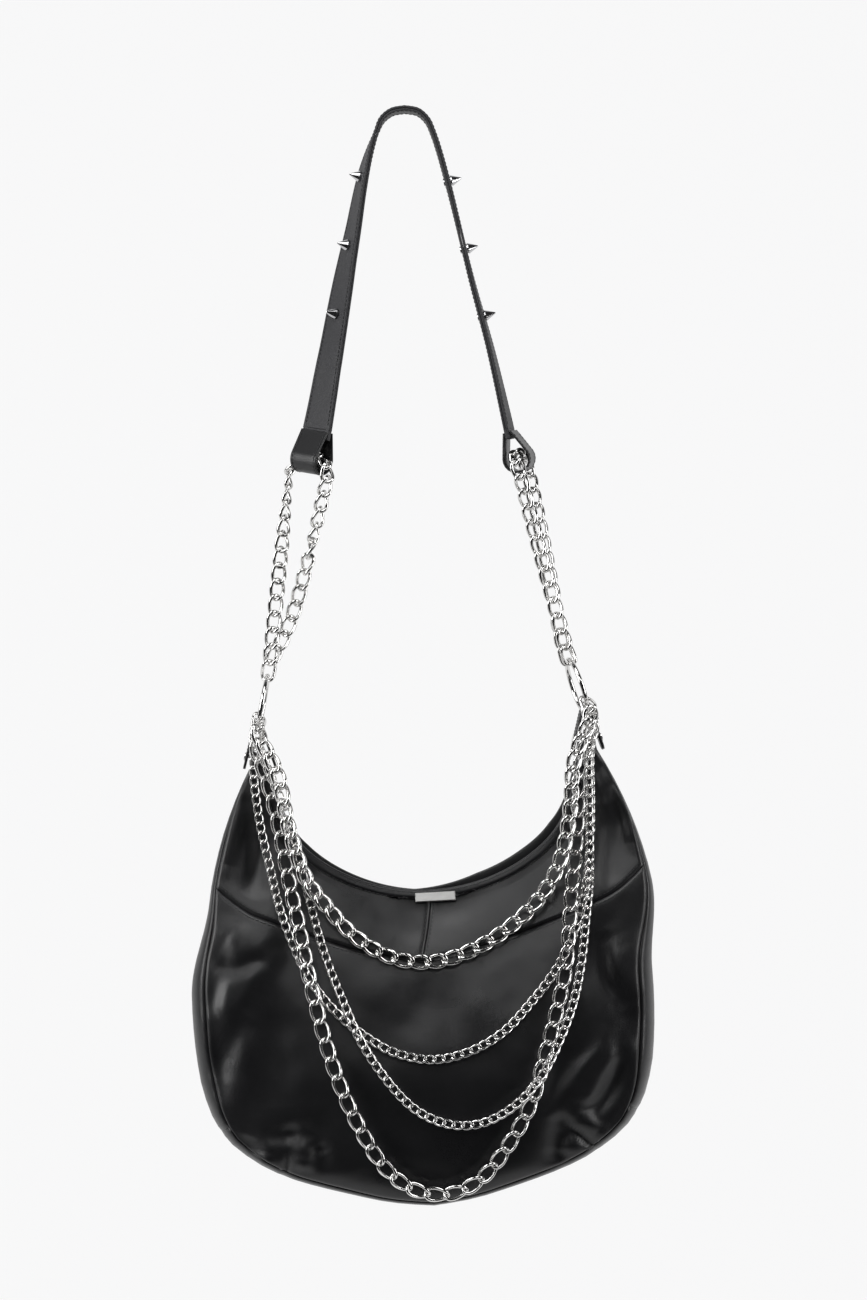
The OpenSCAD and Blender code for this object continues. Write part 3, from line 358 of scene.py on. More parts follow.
def smoothLine(points, steps):
    p = np.asarray(points, float)
    last = len(p) - 1
    out = []
    for i in range(last):
        a, b, c, d = p[max(0, i - 1)], p[i], p[i + 1], p[min(last, i + 2)]
        for t in np.arange(steps) / steps:
            out.append((2 * b + (c - a) * t + (2 * a - 5 * b + 4 * c - d) * t * t
                        + (3 * b - a - 3 * c + d) * t ** 3) / 2)
    out.append(p[last])
    return np.array(out)


def runOf(points, dims=3):
    gaps = np.linalg.norm(np.diff(points[:, :dims], axis=0), axis=1)
    return np.concatenate([[0], np.cumsum(gaps)])


def alongLine(points, wanted, dims=3):
    run = runOf(points, dims)
    return np.stack([np.interp(wanted, run, points[:, k]) for k in range(points.shape[1])], -1)


def evenLine(points, count, dims=3):
    return alongLine(points, np.linspace(0, runOf(points, dims)[-1], count + 1), dims)


def spreadLine(points, shares, dims=3):
    return alongLine(points, np.asarray(shares) * runOf(points, dims)[-1], dims)


def rimHeightAt(x):
    across = np.minimum(np.abs(x), rimEndX)
    arc = rimRadius - np.sqrt(rimRadius ** 2 - across ** 2)
    endArc = rimRadius - math.sqrt(rimRadius ** 2 - rimEndX ** 2)
    rise = bagHeight * (bagShape["rimLow"] - bagShape["rimTop"]) - endArc
    return rimLowZ + arc + rise * (across / rimEndX) ** 14


def swayAt(z):
    share = (peakZ - z) / bagHeight
    turn = np.clip((share - bagShape["rimLow"]) / bagShape["swayShare"], 0, 1)
    return bagShape["sway"] * np.sin(math.pi / 2 * turn) ** 2


rimX = rimEndX * np.sin(np.linspace(0, math.pi / 2, 240))
rimTable = np.stack([rimX, rimHeightAt(rimX)], -1)
sideCurve = smoothLine([(s * halfWidth, peakZ - bagHeight * h) for h, s in bagShape["sides"]], 12)


def fromRim(x, z):
    down = np.maximum(0, rimHeightAt(x) - z)
    under = np.concatenate([[3 * (baseZ - rimLowZ)], rimTable[:, 0]])
    heights = np.concatenate([[baseZ], rimTable[:, 1]])
    out = np.maximum(0, np.abs(x) - np.interp(z, heights, under))
    return down * out / np.maximum(0.3, np.hypot(down, out))


def plainDepth(x, z):
    span = np.maximum(1, rimHeightAt(x) - baseZ)
    s = np.clip(fromRim(x, z) / span, 0, 1)
    side = np.interp(-z, -sideCurve[:, 1], sideCurve[:, 0])
    q = np.clip(np.abs(x) / np.maximum(1, side), 0, 1)
    full = bagShape["fullShare"]
    low = math.acos(bagShape["baseDepth"])
    fullness = np.where(s < full, np.sin(math.pi / 2 * s / full),
                        np.cos(low * (s - full) / (1 - full)))
    return mouthHalf + (bellyHalf - mouthHalf) * fullness * (1 - bagShape["sideDepth"] * q ** 3)


# folds in the leather: line in millimetres, half width, height, share kept at each end
frontFolds = [
    ([(-141, -60), (-152, -100), (-166, -150)], 7, -2.6, (0.4, 0.2)),
    ([(-150, -72), (-160, -110), (-171, -150)], 6, 1.6, (0.5, 0.3)),
    ([(-134, -66), (-138, -110), (-140, -160)], 9, -2.2, (0.4, 0.1)),
    ([(-128, -80), (-112, -135), (-92, -175)], 10, -1.8, (0.4, 0.1)),
    ([(143, -60), (155, -95), (165, -150)], 6, -2.6, (0.6, 0.1)),
    ([(138, -66), (146, -110), (152, -160)], 8, 1.4, (0.4, 0.2)),
    ([(132, -72), (134, -120), (130, -165)], 9, -2.4, (0.4, 0.1)),
    ([(-60, -160), (-30, -185), (5, -196)], 9, -1.3, (0.2, 0.2)),
    ([(-30, -170), (10, -180), (40, -172)], 8, -1.0, (0.1, 0.2)),
    ([(-150, -185), (-154, -240), (-150, -300)], 14, 2.2, (0.2, 0.1)),
    ([(-118, -200), (-122, -260), (-118, -330)], 16, -3.4, (0.2, 0.1)),
    ([(-166, -200), (-172, -270), (-166, -330)], 9, -2.2, (0.3, 0.2)),
    ([(128, -195), (138, -240), (150, -262)], 12, -3.4, (0.2, 0.2)),
    ([(150, -205), (158, -228), (160, -245)], 8, 1.6, (0.2, 0.2)),
    ([(150, -275), (138, -310), (118, -345)], 9, 2.6, (0.1, 0.5)),
    ([(158, -290), (152, -325), (136, -352)], 7, -2.6, (0.2, 0.5)),
    ([(112, -290), (104, -325), (100, -350)], 12, -3.0, (0.1, 0.3)),
    ([(-60, -300), (0, -325), (60, -310)], 26, -1.6, (0.1, 0.1)),
    ([(-90, -330), (-70, -360), (-60, -385)], 14, -2.0, (0.1, 0.3)),
    ([(-164, -184), (-140, -196)], 9, 3.6, (0.4, 0.4)),
    ([(-171, -207), (-151, -215), (-128, -204)], 8, -3.4, (0.3, 0.2)),
    ([(-134, -207), (-151, -234), (-171, -253)], 8, 3.2, (0.2, 0.4)),
    ([(-143, -251), (-159, -275), (-171, -307)], 11, -3.6, (0.2, 0.2)),
    ([(145, -197), (150, -238), (166, -270)], 9, -4.4, (0.2, 0.3)),
    ([(169, -207), (174, -236), (175, -260)], 8, 3.4, (0.3, 0.3)),
    ([(101, -345), (131, -309), (165, -296)], 8, 3.6, (0.4, 0.4)),
    ([(113, -336), (134, -342), (155, -313)], 8, -4.0, (0.3, 0.2)),
    ([(153, -78), (168, -108), (165, -132)], 8, 3.2, (0.3, 0.3)),
    ([(143, -94), (150, -136), (144, -168)], 9, -3.4, (0.3, 0.2)),
    ([(-144, -77), (-157, -107), (-165, -133)], 8, 3.4, (0.3, 0.3)),
    ([(-135, -104), (-140, -135), (-153, -157)], 9, -3.4, (0.3, 0.2)),
    ([(-85, -204), (-28, -218), (30, -211)], 22, 2.4, (0.2, 0.2)),
]
# the two darts at the lower corners, each with its puffed sides and its pinched seam
frontDarts = [
    ([(-121, -391), (-115, -366)], 2.2, -4.0, (1.0, 0.3)),
    ([(-136, -380), (-131, -362)], 9, 4.6, (0.5, 0.6)),
    ([(-106, -384), (-103, -366)], 8, 4.0, (0.5, 0.6)),
    ([(-124, -352), (-102, -349)], 8, -4.6, (0.5, 0.5)),
    ([(-88, -372), (-92, -356)], 8, -4.4, (0.6, 0.5)),
    ([(-152, -368), (-146, -350)], 8, -2.6, (0.4, 0.2)),
    ([(134, -376), (112, -356)], 2.2, -4.0, (1.0, 0.3)),
    ([(126, -382), (104, -366)], 8, 3.4, (0.6, 0.5)),
    ([(140, -364), (122, -346)], 7, 4.0, (0.6, 0.5)),
    ([(107, -352), (102, -378)], 9, -6.5, (0.7, 0.7)),
]
backFolds = [
    ([(-141, -60), (-150, -110), (-158, -160)], 8, -2.4, (0.4, 0.2)),
    ([(-130, -70), (-124, -120), (-112, -170)], 10, -2.0, (0.4, 0.1)),
    ([(142, -60), (153, -110), (160, -160)], 8, -2.4, (0.4, 0.2)),
    ([(131, -74), (124, -125), (108, -172)], 11, -2.2, (0.4, 0.1)),
    ([(-40, -170), (0, -188), (44, -176)], 10, -1.4, (0.2, 0.2)),
    ([(-140, -200), (-146, -270), (-136, -340)], 16, -3.0, (0.2, 0.1)),
    ([(134, -200), (144, -280), (132, -345)], 15, -3.2, (0.2, 0.1)),
    ([(-70, -230), (-20, -262), (50, -240)], 22, -1.8, (0.1, 0.1)),
    ([(-80, -320), (-10, -340), (80, -322)], 24, -1.8, (0.1, 0.1)),
]
backDarts = [
    ([(-128, -388), (-114, -362)], 2.2, -4.0, (1.0, 0.3)),
    ([(-140, -376), (-130, -356)], 9, 3.6, (0.5, 0.6)),
    ([(-108, -384), (-100, -364)], 9, 3.2, (0.5, 0.6)),
    ([(128, -388), (114, -362)], 2.2, -4.0, (1.0, 0.3)),
    ([(140, -376), (130, -356)], 9, 3.6, (0.5, 0.6)),
    ([(108, -384), (100, -364)], 9, 3.2, (0.5, 0.6)),
]
mapStep = 1.0
mapX = np.arange(-215, 216, mapStep)
mapZ = np.arange(-440, 1, mapStep)
gridX, gridZ = np.meshgrid(mapX, mapZ)


def nearLine(x, z, line):
    best = np.full(np.shape(x), 1e9)
    share = np.zeros(np.shape(x))
    line = np.asarray(line, float)
    run = runOf(line, 2)
    for i in range(len(line) - 1):
        a, b = line[i], line[i + 1]
        d = b - a
        t = np.clip(((x - a[0]) * d[0] + (z - a[1]) * d[1]) / max(1e-9, d @ d), 0, 1)
        gap = np.hypot(x - a[0] - t * d[0], z - a[1] - t * d[1])
        closer = gap < best
        best = np.where(closer, gap, best)
        share = np.where(closer, (run[i] + t * (run[i + 1] - run[i])) / run[-1], share)
    return best, share


def foldHeight(x, z, folds):
    total = np.zeros(np.shape(x))
    for line, wide, high, (first, last) in folds:
        gap, share = nearLine(x, z, smoothLine(line, 6) if len(line) > 2 else line)
        keep = np.sin(math.pi * np.clip(share, 0, 1)) ** 0.7
        keep = np.maximum(keep, np.where(share < 0.5, first, last))
        total += high * keep * np.exp(-(gap / wide) ** 2)
    return total


def blurred(field, size):
    reach = int(3 * size / mapStep)
    kernel = np.exp(-0.5 * (np.arange(-reach, reach + 1) * mapStep / size) ** 2)
    kernel /= kernel.sum()
    out = np.pad(field, reach, mode="edge")
    out = np.apply_along_axis(lambda v: np.convolve(v, kernel, "valid"), 0, out)
    return np.apply_along_axis(lambda v: np.convolve(v, kernel, "valid"), 1, out)


def slowWaves(seed, size, high):
    rng = np.random.default_rng(seed)
    return high * blurred(rng.standard_normal(gridX.shape), size) * size * 3.5


def makeRelief(folds, darts, seed):
    plain = plainDepth(gridX, gridZ)
    away = np.clip(fromRim(gridX, gridZ) / 14, 0, 1)
    depth = plain * (1 - away) + blurred(plain, 6) * away
    waves = slowWaves(seed, 16, 0.8) + slowWaves(seed + 1, 7, 0.22)
    soft = 1.15 * foldHeight(gridX, gridZ, folds) + waves - 2.2
    top, firm = 0.6, 1.4  # ridges round off below this height, short of the chains
    soft = top - np.logaddexp(0, firm * (top - soft)) / firm
    return depth + away * (soft + foldHeight(gridX, gridZ, darts))


reliefs = {
    -1: makeRelief(frontFolds, frontDarts, 11),
    1: makeRelief(backFolds, backDarts, 37),
}


def unit(vectors):
    return vectors / np.linalg.norm(vectors, axis=-1, keepdims=True)


def sampled(field, x, z):
    fx = np.clip((np.asarray(x) - mapX[0]) / mapStep, 0, len(mapX) - 1.001)
    fz = np.clip((np.asarray(z) - mapZ[0]) / mapStep, 0, len(mapZ) - 1.001)
    i, j = fx.astype(int), fz.astype(int)
    u, v = fx - i, fz - j
    return ((1 - v) * ((1 - u) * field[j, i] + u * field[j, i + 1])
            + v * ((1 - u) * field[j + 1, i] + u * field[j + 1, i + 1]))


def onBody(flat, side, lift=0.0):
    flat = np.asarray(flat, float)
    x, z = flat[..., 0], flat[..., 1]
    field = reliefs[side]
    depth = sampled(field, x, z)
    slopeX = (sampled(field, x + 1, z) - sampled(field, x - 1, z)) / 2
    slopeZ = (sampled(field, x, z + 1) - sampled(field, x, z - 1)) / 2
    normal = unit(np.stack([-slopeX, np.full_like(slopeX, side), -slopeZ], -1))
    point = np.stack([x + swayAt(z), side * depth, z], -1)
    return point + np.asarray(lift)[..., None] * normal, normal


print("body surface mapped")


def makeMesh(name, points, faces, material, body, smooth=True):
    mesh = bpy.data.meshes.new(name)
    mesh.from_pydata([tuple(p) for p in points], [], faces)
    mesh.update()
    if smooth:
        mesh.polygons.foreach_set("use_smooth", [True] * len(mesh.polygons))
    mesh.materials.append(finish[material])
    obj = bpy.data.objects.new(name, mesh)
    scene.collection.objects.link(obj)
    if body:
        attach(obj, body)
    return obj


def skinFaces(rows, cols):
    count = rows * cols
    faces = []
    for j in range(rows - 1):
        for i in range(cols - 1):
            a = j * cols + i
            faces.append((a, a + 1, a + cols + 1, a + cols))
            faces.append((count + a, count + a + cols, count + a + cols + 1, count + a + 1))
    for i in range(cols - 1):
        low = (rows - 1) * cols
        faces.append((i + 1, i, count + i, count + i + 1))
        faces.append((low + i, low + i + 1, count + low + i + 1, count + low + i))
    for j in range(rows - 1):
        a, b = j * cols, (j + 1) * cols
        faces.append((a, b, count + b, count + a))
        a, b = a + cols - 1, b + cols - 1
        faces.append((b, a, count + a, count + b))
    return faces


# a closed tube with capped ends, of rings that have n points each
def tubeFaces(count, n):
    faces = [(i * n + k, i * n + (k + 1) % n, (i + 1) * n + (k + 1) % n, (i + 1) * n + k)
             for i in range(count - 1) for k in range(n)]
    faces.append(tuple(range(n - 1, -1, -1)))
    faces.append(tuple((count - 1) * n + k for k in range(n)))
    return faces


def turned(faces):
    return [tuple(reversed(face)) for face in faces]


def edgeShares(count, length, near=(0.0, 0.5, 1.1, 2.0, 3.4, 5.5)):
    inner = np.linspace(0, 1, count + 1)
    close = np.array(near) / length
    inner = inner[(inner > close[-1] * 1.3) & (inner < 1 - close[-1] * 1.3)]
    return np.concatenate([close, inner, 1 - close[::-1]])


def coons(top, bottom, left, right, us, vs):
    t, b = spreadLine(top, us, 2), spreadLine(bottom, us, 2)
    l, r = spreadLine(left, vs, 2), spreadLine(right, vs, 2)
    u, v = us[None, :, None], vs[:, None, None]
    return (t[None] * (1 - v) + b[None] * v + l[:, None] * (1 - u) + r[:, None] * u
            - ((1 - u) * (1 - v) * t[0] + u * (1 - v) * t[-1]
               + (1 - u) * v * b[0] + u * v * b[-1]))


def gridNormals(p):
    du = np.gradient(p, axis=1)
    dv = np.gradient(p, axis=0)
    n = np.cross(dv, du)
    return n / np.maximum(1e-9, np.linalg.norm(n, axis=-1, keepdims=True))


def borderGap(p):
    run = lambda q, axis: np.concatenate(
        [np.zeros_like(np.take(q, [0], axis)[..., 0]),
         np.cumsum(np.linalg.norm(np.diff(q, axis=axis), axis=-1), axis=axis)], axis=axis)
    a, b = run(p, 1), run(p, 0)
    return np.minimum(np.minimum(a, a[:, -1:] - a), np.minimum(b, b[-1:] - b))


skinShape = {"thick": 1.6, "dip": 1.5, "reach": 4.0}


# a leather panel: its edges roll in to the seam, and its leather has a thickness
def leatherShell(name, local, outward, node, thick=skinShape["thick"], dip=skinShape["dip"],
                 material="bagLeather"):
    normal = gridNormals(local)
    if np.sum(normal * outward) < 0:
        normal = -normal
    gap = borderGap(local)
    roll = dip * (1 - np.clip(gap / skinShape["reach"], 0, 1)) ** 2
    outer = local - normal * roll[..., None]
    inner = local - normal * (roll + thick)[..., None]
    rows, cols = local.shape[:2]
    points = np.concatenate([toRow(outer).reshape(-1, 3), toRow(inner).reshape(-1, 3)])
    faces = skinFaces(rows, cols)
    a, b, c = (points[k] for k in faces[0][:3])
    if np.dot(np.cross(b - a, c - a), outward) < 0:
        faces = turned(faces)
    piece = makeMesh(name, points, faces, material, "bag")
    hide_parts(node)


outlineSteps = 36
outlineLine = np.concatenate([
    [[rimEndX, float(rimHeightAt(rimEndX))]],
    evenLine(smoothLine([(s * halfWidth, peakZ - bagHeight * h) for h, s in bagShape["sides"]], 4),
             outlineSteps - 1, 2)])


def outwardOf(line):
    d = unit(np.gradient(line, axis=0))
    return np.stack([-d[:, 1], d[:, 0]], -1)


def upwardOf(line):
    out = outwardOf(line)
    return np.where(out[:, 1:] < 0, -out, out)


outlineOut = outwardOf(outlineLine)
outlineOut[-1] = (0, -1)
insetShares = np.array(bagShape["insets"])
outlineInset = halfWidth * np.interp((peakZ - outlineLine[:, 1]) / bagHeight,
                                     insetShares[:, 0], insetShares[:, 1])
panelEdge = outlineLine - outlineInset[:, None] * outlineOut
seamIndex = int(round(float(np.interp(bagHeight * bagShape["seamEnd"] - peakZ, -outlineLine[1:, 1],
                                      np.arange(1, outlineSteps + 1)))))
cornerIndex = int(round(float(np.interp(bagHeight * bagShape["cornerShare"] - peakZ,
                                        -outlineLine[1:, 1], np.arange(1, outlineSteps + 1)))))
halfSeam = smoothLine([(s * halfWidth, peakZ - bagHeight * h) for s, h in bagShape["seam"]]
                      + [tuple(panelEdge[seamIndex])], 12)
flipX = np.array([-1.0, 1.0])
seamLine = np.concatenate([(halfSeam * flipX)[::-1], halfSeam[1:]])


def outlinePart(a, b):
    return smoothLine(panelEdge[a:b + 1], 6)


yokeCut = {"cols": 44, "rimRows": 62, "centreRows": 16}


def yokeGrid():
    mouth = rimTable[::-1]
    out = outwardOf(mouth)
    mouth = mouth - (bagShape["rimHeight"] + 0.5) * np.where(out[:, 1:] > 0, 1, -1) * out
    centre = np.array([mouth[-1], halfSeam[0]])
    mouthRun, centreRun = runOf(mouth, 2)[-1], runOf(centre, 2)[-1]
    split = mouthRun / (mouthRun + centreRun)
    inner = np.concatenate([mouth, centre[1:]])
    a = edgeShares(yokeCut["rimRows"], mouthRun) * split
    b = split + edgeShares(yokeCut["centreRows"], centreRun) * (1 - split)
    vs = np.concatenate([a, b[1:]])
    outer = outlinePart(1, seamIndex)
    us = edgeShares(yokeCut["cols"], 70)
    top = np.array([inner[0], outer[0]])
    return coons(top, halfSeam, inner, outer, us, vs)


panelCut = {"cols": 128, "rows": 84}


def lowerGrid():
    right = outlinePart(seamIndex, cornerIndex)
    rightBase = outlinePart(cornerIndex, outlineSteps)
    bottom = np.concatenate([rightBase * flipX, rightBase[::-1][1:]])
    us = edgeShares(panelCut["cols"], 340)
    vs = edgeShares(panelCut["rows"], 210)
    return coons(seamLine, bottom, right * flipX, right, us, vs)


yokeFlat = yokeGrid()
lowerFlat = lowerGrid()


def makePanels():
    for side, word in ((-1, "front"), (1, "back")):
        outward = np.array([0, side, 0])
        for mirror, hand in ((-1, "left"), (1, "right")):
            flat = yokeFlat * np.array([mirror, 1])
            leatherShell(f"{word}Yoke{hand.title()}", onBody(flat, side)[0], outward,
                         f"yoke_{word}_{hand}")
        leatherShell(f"{word}Panel", onBody(lowerFlat, side)[0], outward, f"panel_{word}")


makePanels()
print("panels and yokes made")

gussetCut = {"across": 26, "perStep": 3, "bow": 0.6, "creaseHigh": 1.6, "dip": 0.8}


def edgeDepth(flat, side):
    return sampled(reliefs[side], flat[..., 0], flat[..., 1]) - skinShape["thick"]


def gussetRows(first, last, mirror):
    steps = np.linspace(first, last, (last - first) * gussetCut["perStep"] + 1)
    index = np.arange(outlineSteps + 1)
    pick = lambda table: np.stack([np.interp(steps, index, table[:, k]) for k in (0, 1)], -1)
    outer, edge, out = pick(outlineLine), pick(panelEdge), pick(outlineOut)
    w = np.sin(np.linspace(-1, 1, gussetCut["across"] + 1) * math.pi / 2)
    flip = np.array([mirror, 1])
    front = edgeDepth(edge * flip, -1)
    back = edgeDepth(edge * flip, 1)
    bow = np.maximum(0, 1 - w * w) ** gussetCut["bow"]
    flat = edge[:, None] + (outer - edge)[:, None] * bow[None, :, None]
    crease = gussetCut["creaseHigh"] * np.exp(-((w[None, :]) / 0.3) ** 2) \
        * np.sin(np.linspace(0, math.pi, len(steps)))[:, None]
    flat = flat - crease[..., None] * out[:, None]
    y = np.where(w[None, :] < 0, front[:, None] * w[None, :], back[:, None] * w[None, :])
    x = flat[..., 0] * mirror
    z = flat[..., 1]
    return np.stack([x + swayAt(z), y, z], -1)


def makeGussets():
    for mirror, hand in ((-1, "left"), (1, "right")):
        leatherShell(f"sidePanel{hand.title()}", gussetRows(0, cornerIndex - 1, mirror),
                     np.array([mirror, 0, 0]), f"gusset_{hand}", dip=gussetCut["dip"])
    right, left = (gussetRows(cornerIndex - 1, outlineSteps, mirror) for mirror in (1, -1))
    leatherShell("basePanel", np.concatenate([right, left[::-1][1:]]), np.array([0, 0, -1]),
                 "base", dip=gussetCut["dip"])


makeGussets()
print("side and base panels made")


# a strip of leather with rounded edges, laid along a line in millimetres
def stripMesh(name, centre, across, out, halfWide, low, high, material, body,
              corner=0.8, grooves=(), cols=18):
    centre = np.asarray(centre, float)
    count = len(centre)
    halfWide = np.broadcast_to(np.asarray(halfWide, float), (count,))
    low = np.broadcast_to(np.asarray(low, float), (count,))
    high = np.broadcast_to(np.asarray(high, float), (count,))
    wide = float(np.max(halfWide))
    flatPart = np.linspace(-1, 1, cols)
    turn = np.linspace(0, math.pi / 2, 4)
    u, drop = [], []
    for a in turn[::-1]:
        u.append(-wide + corner - corner * math.sin(a))
        drop.append(corner * (1 - math.cos(a)))
    for s in flatPart[1:-1]:
        u.append(s * (wide - corner))
        drop.append(0.0)
    for a in turn:
        u.append(wide - corner + corner * math.sin(a))
        drop.append(corner * (1 - math.cos(a)))
    u, drop = np.array(u), np.array(drop)
    for spot, deep, size in grooves:
        drop = drop + deep * np.exp(-((np.abs(u) - (wide - spot)) / size) ** 2)
    under = np.array([wide, wide - corner * 0.5, 0, -wide + corner * 0.5, -wide])
    lift = np.array([min(corner, 0.5), 0, 0, 0, min(corner, 0.5)])
    rings = []
    for i in range(count):
        k = halfWide[i] / wide
        top = centre[i] + np.outer(u * k, across[i]) + np.outer(high[i] - drop, out[i])
        bottom = centre[i] + np.outer(under * k, across[i]) + np.outer(low[i] + lift, out[i])
        rings.append(np.concatenate([top, bottom]))
    n = len(rings[0])
    points = np.concatenate(rings) * 0.001
    faces = tubeFaces(count, n)
    probe = faces[n * (count // 2) + n // 3]
    a, b, c = (points[k] for k in probe[:3])
    if np.dot(np.cross(b - a, c - a), np.asarray(out)[count // 2]) < 0:
        faces = turned(faces)
    return makeMesh(name, points, faces, material, body)


stitchSize = {"long": 2.7, "pitch": 3.5, "thick": 0.3, "sides": 6}


# each stitch is a short arched thread, sunk at its ends
def stitchRow(name, line, normal, body, pitch=stitchSize["pitch"]):
    run = runOf(line)
    count = max(2, int(run[-1] / pitch))
    mids = (np.arange(count) + 0.5) * run[-1] / count
    centre = alongLine(line, mids)
    up = alongLine(np.concatenate([line, normal], 1), mids, 3)[:, 3:]
    ahead = alongLine(line, np.minimum(mids + 0.8, run[-1]))
    behind = alongLine(line, np.maximum(mids - 0.8, 0))
    forward = unit(ahead - behind)
    up = unit(up - np.sum(up * forward, 1, keepdims=True) * forward)
    side = np.cross(up, forward)
    forward = forward + 0.1 * side
    shares = np.array([-1, -0.82, -0.35, 0.35, 0.82, 1])
    sizes = np.array([0.35, 0.85, 1, 1, 0.85, 0.35])
    rise = np.array([-0.55, 0.1, 0.55, 0.55, 0.1, -0.55])
    r, half = stitchSize["thick"], stitchSize["long"] / 2
    sides = stitchSize["sides"]
    angle = np.arange(sides) * 2 * math.pi / sides
    points = []
    for share, size, high in zip(shares, sizes, rise):
        for a in angle:
            points.append(centre + share * half * forward + (high * r + size * r * math.sin(a)) * up
                          + size * r * 1.25 * math.cos(a) * side)
    points = np.stack(points, 1).reshape(-1, 3) * 0.001
    each = len(shares) * sides
    faces = []
    for s in range(count):
        base = s * each
        for j in range(len(shares) - 1):
            for k in range(sides):
                a, b = base + j * sides + k, base + j * sides + (k + 1) % sides
                faces.append((a, a + sides, b + sides, b))
        faces.append(tuple(base + k for k in range(sides)))
        faces.append(tuple(base + each - sides + k for k in reversed(range(sides))))
    return makeMesh(name, points, faces, "blackThread", body)


# the strap's two legs: x and drop as shares, and the way the strap faces in degrees
strapShape = {
    "width": 29.0, "layer": 2.1, "drop": 262.0, "spread": 157.0, "steps": 240,
    "left": [(0, 0, 90), (-0.092, 0.014, 90), (-0.146, 0.065, 92), (-0.212, 0.19, 103),
             (-0.271, 0.378, 112), (-0.329, 0.565, 123), (-0.402, 0.816, 133), (-0.457, 1, 142)],
    "right": [(0, 0, 90), (0.092, 0.016, 90), (0.154, 0.085, 90), (0.233, 0.25, 90),
              (0.347, 0.53, 87), (0.447, 0.75, 83), (0.543, 1, 78)],
    "tongue": 8.0,
    "stitchIn": 2.6, "waves": 0.22,
}


def legLine(shares):
    rough = smoothLine([(q[0] * strapShape["spread"], 0,
                         strapShape["layer"] - q[1] * strapShape["drop"], q[2]) for q in shares], 6)
    return evenLine(smoothLine(evenLine(rough, 26), 10), strapShape["steps"])


def strapFrames():
    legs = []
    for key, side in (("left", 1), ("right", -1)):
        line = legLine(strapShape[key])
        t = unit(np.gradient(line[:, :3], axis=0))
        yaw = np.radians(line[:, 3])
        across = np.stack([np.cos(yaw), np.sin(yaw), np.zeros(len(line))], -1)
        across = unit(across - np.sum(across * t, 1, keepdims=True) * t)
        out = side * np.cross(across, t)
        legs.append((line[:, :3], across, out))
    return [np.concatenate([left[::-1], right[1:]]) for left, right in zip(*legs)]


strapCentre, strapAcross, strapOut = strapFrames()


def makeStrap():
    run = runOf(strapCentre)
    rng = np.random.default_rng(5)
    wave = np.convolve(rng.standard_normal(len(run) + 40), np.hanning(41), "valid")[:len(run)]
    wave = strapShape["waves"] * wave / max(1e-9, np.abs(wave).max())
    fade = np.clip(np.minimum(run, run[-1] - run) / 12, 0, 1)
    t = strapShape["layer"]
    half = strapShape["width"] / 2
    groove = [(strapShape["stitchIn"], 0.28, 0.8)]
    for face, word, narrower in ((1, "Outer", 0), (-1, "Inner", 0.2)):
        thick = t + np.minimum(face * wave * fade, 0.05)
        ply = stripMesh(f"strap{word}Ply", strapCentre, face * strapAcross, face * strapOut,
                        half - narrower, 0.1, thick, "strapLeather", "strap",
                        corner=0.9, grooves=groove, cols=22)
        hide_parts(f"strap_{word.lower()}")
    for face, word in ((1, "Outer"), (-1, "Inner")):
        for edge in (-1, 1):
            line = strapCentre + strapAcross * edge * (half - strapShape["stitchIn"]) \
                + strapOut * face * (t - 0.12)
            name = f"strapStitches{word}{'Left' if edge < 0 else 'Right'}"
            stitchRow(name, line[3:-3], face * strapOut[3:-3], "strap")


def makeTongues():
    half, t = strapShape["width"] / 2 - 0.4, strapShape["layer"] - 0.02
    for index, hand in ((0, "left"), (-1, "right")):
        end, across, out = strapCentre[index], strapAcross[index], strapOut[index]
        inner = strapCentre[1 if index == 0 else -2]
        down = (end - inner) / np.linalg.norm(end - inner)
        steps = np.linspace(-1.0, strapShape["tongue"], 20)
        line = end + steps[:, None] * down
        piece = stripMesh(f"{hand}StrapTongue", line, np.tile(across, (20, 1)),
                          np.tile(out, (20, 1)), half, -t, t, "strapLeather",
                          None, corner=0.9, cols=12)
        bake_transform(piece)


makeStrap()
makeTongues()
print("strap made")

loopShape = {"length": 37.0, "wide": 23.0, "thick": 1.5, "starts": (1.7, 2.4), "taper": 0.9,
             "leans": (11.0, -19.0), "stitchIn": 2.4}


# the ways across and out of a strip that is bent along a path
def pathFrame(centre, across, upright):
    across = np.tile(across, (len(centre), 1))
    out = np.cross(unit(np.gradient(centre, axis=0)), across)
    if out[len(centre) // 2][2] * upright < 0:
        out = -out
    return across, out


def turnY(p, degrees):
    a = math.radians(degrees)
    return np.stack([p[..., 0] * math.cos(a) + p[..., 2] * math.sin(a), p[..., 1],
                     p[..., 2] * math.cos(a) - p[..., 0] * math.sin(a)], -1)


def turnZ(p, degrees):
    a = math.radians(degrees)
    return np.stack([p[..., 0] * math.cos(a) - p[..., 1] * math.sin(a),
                     p[..., 0] * math.sin(a) + p[..., 1] * math.cos(a), p[..., 2]], -1)


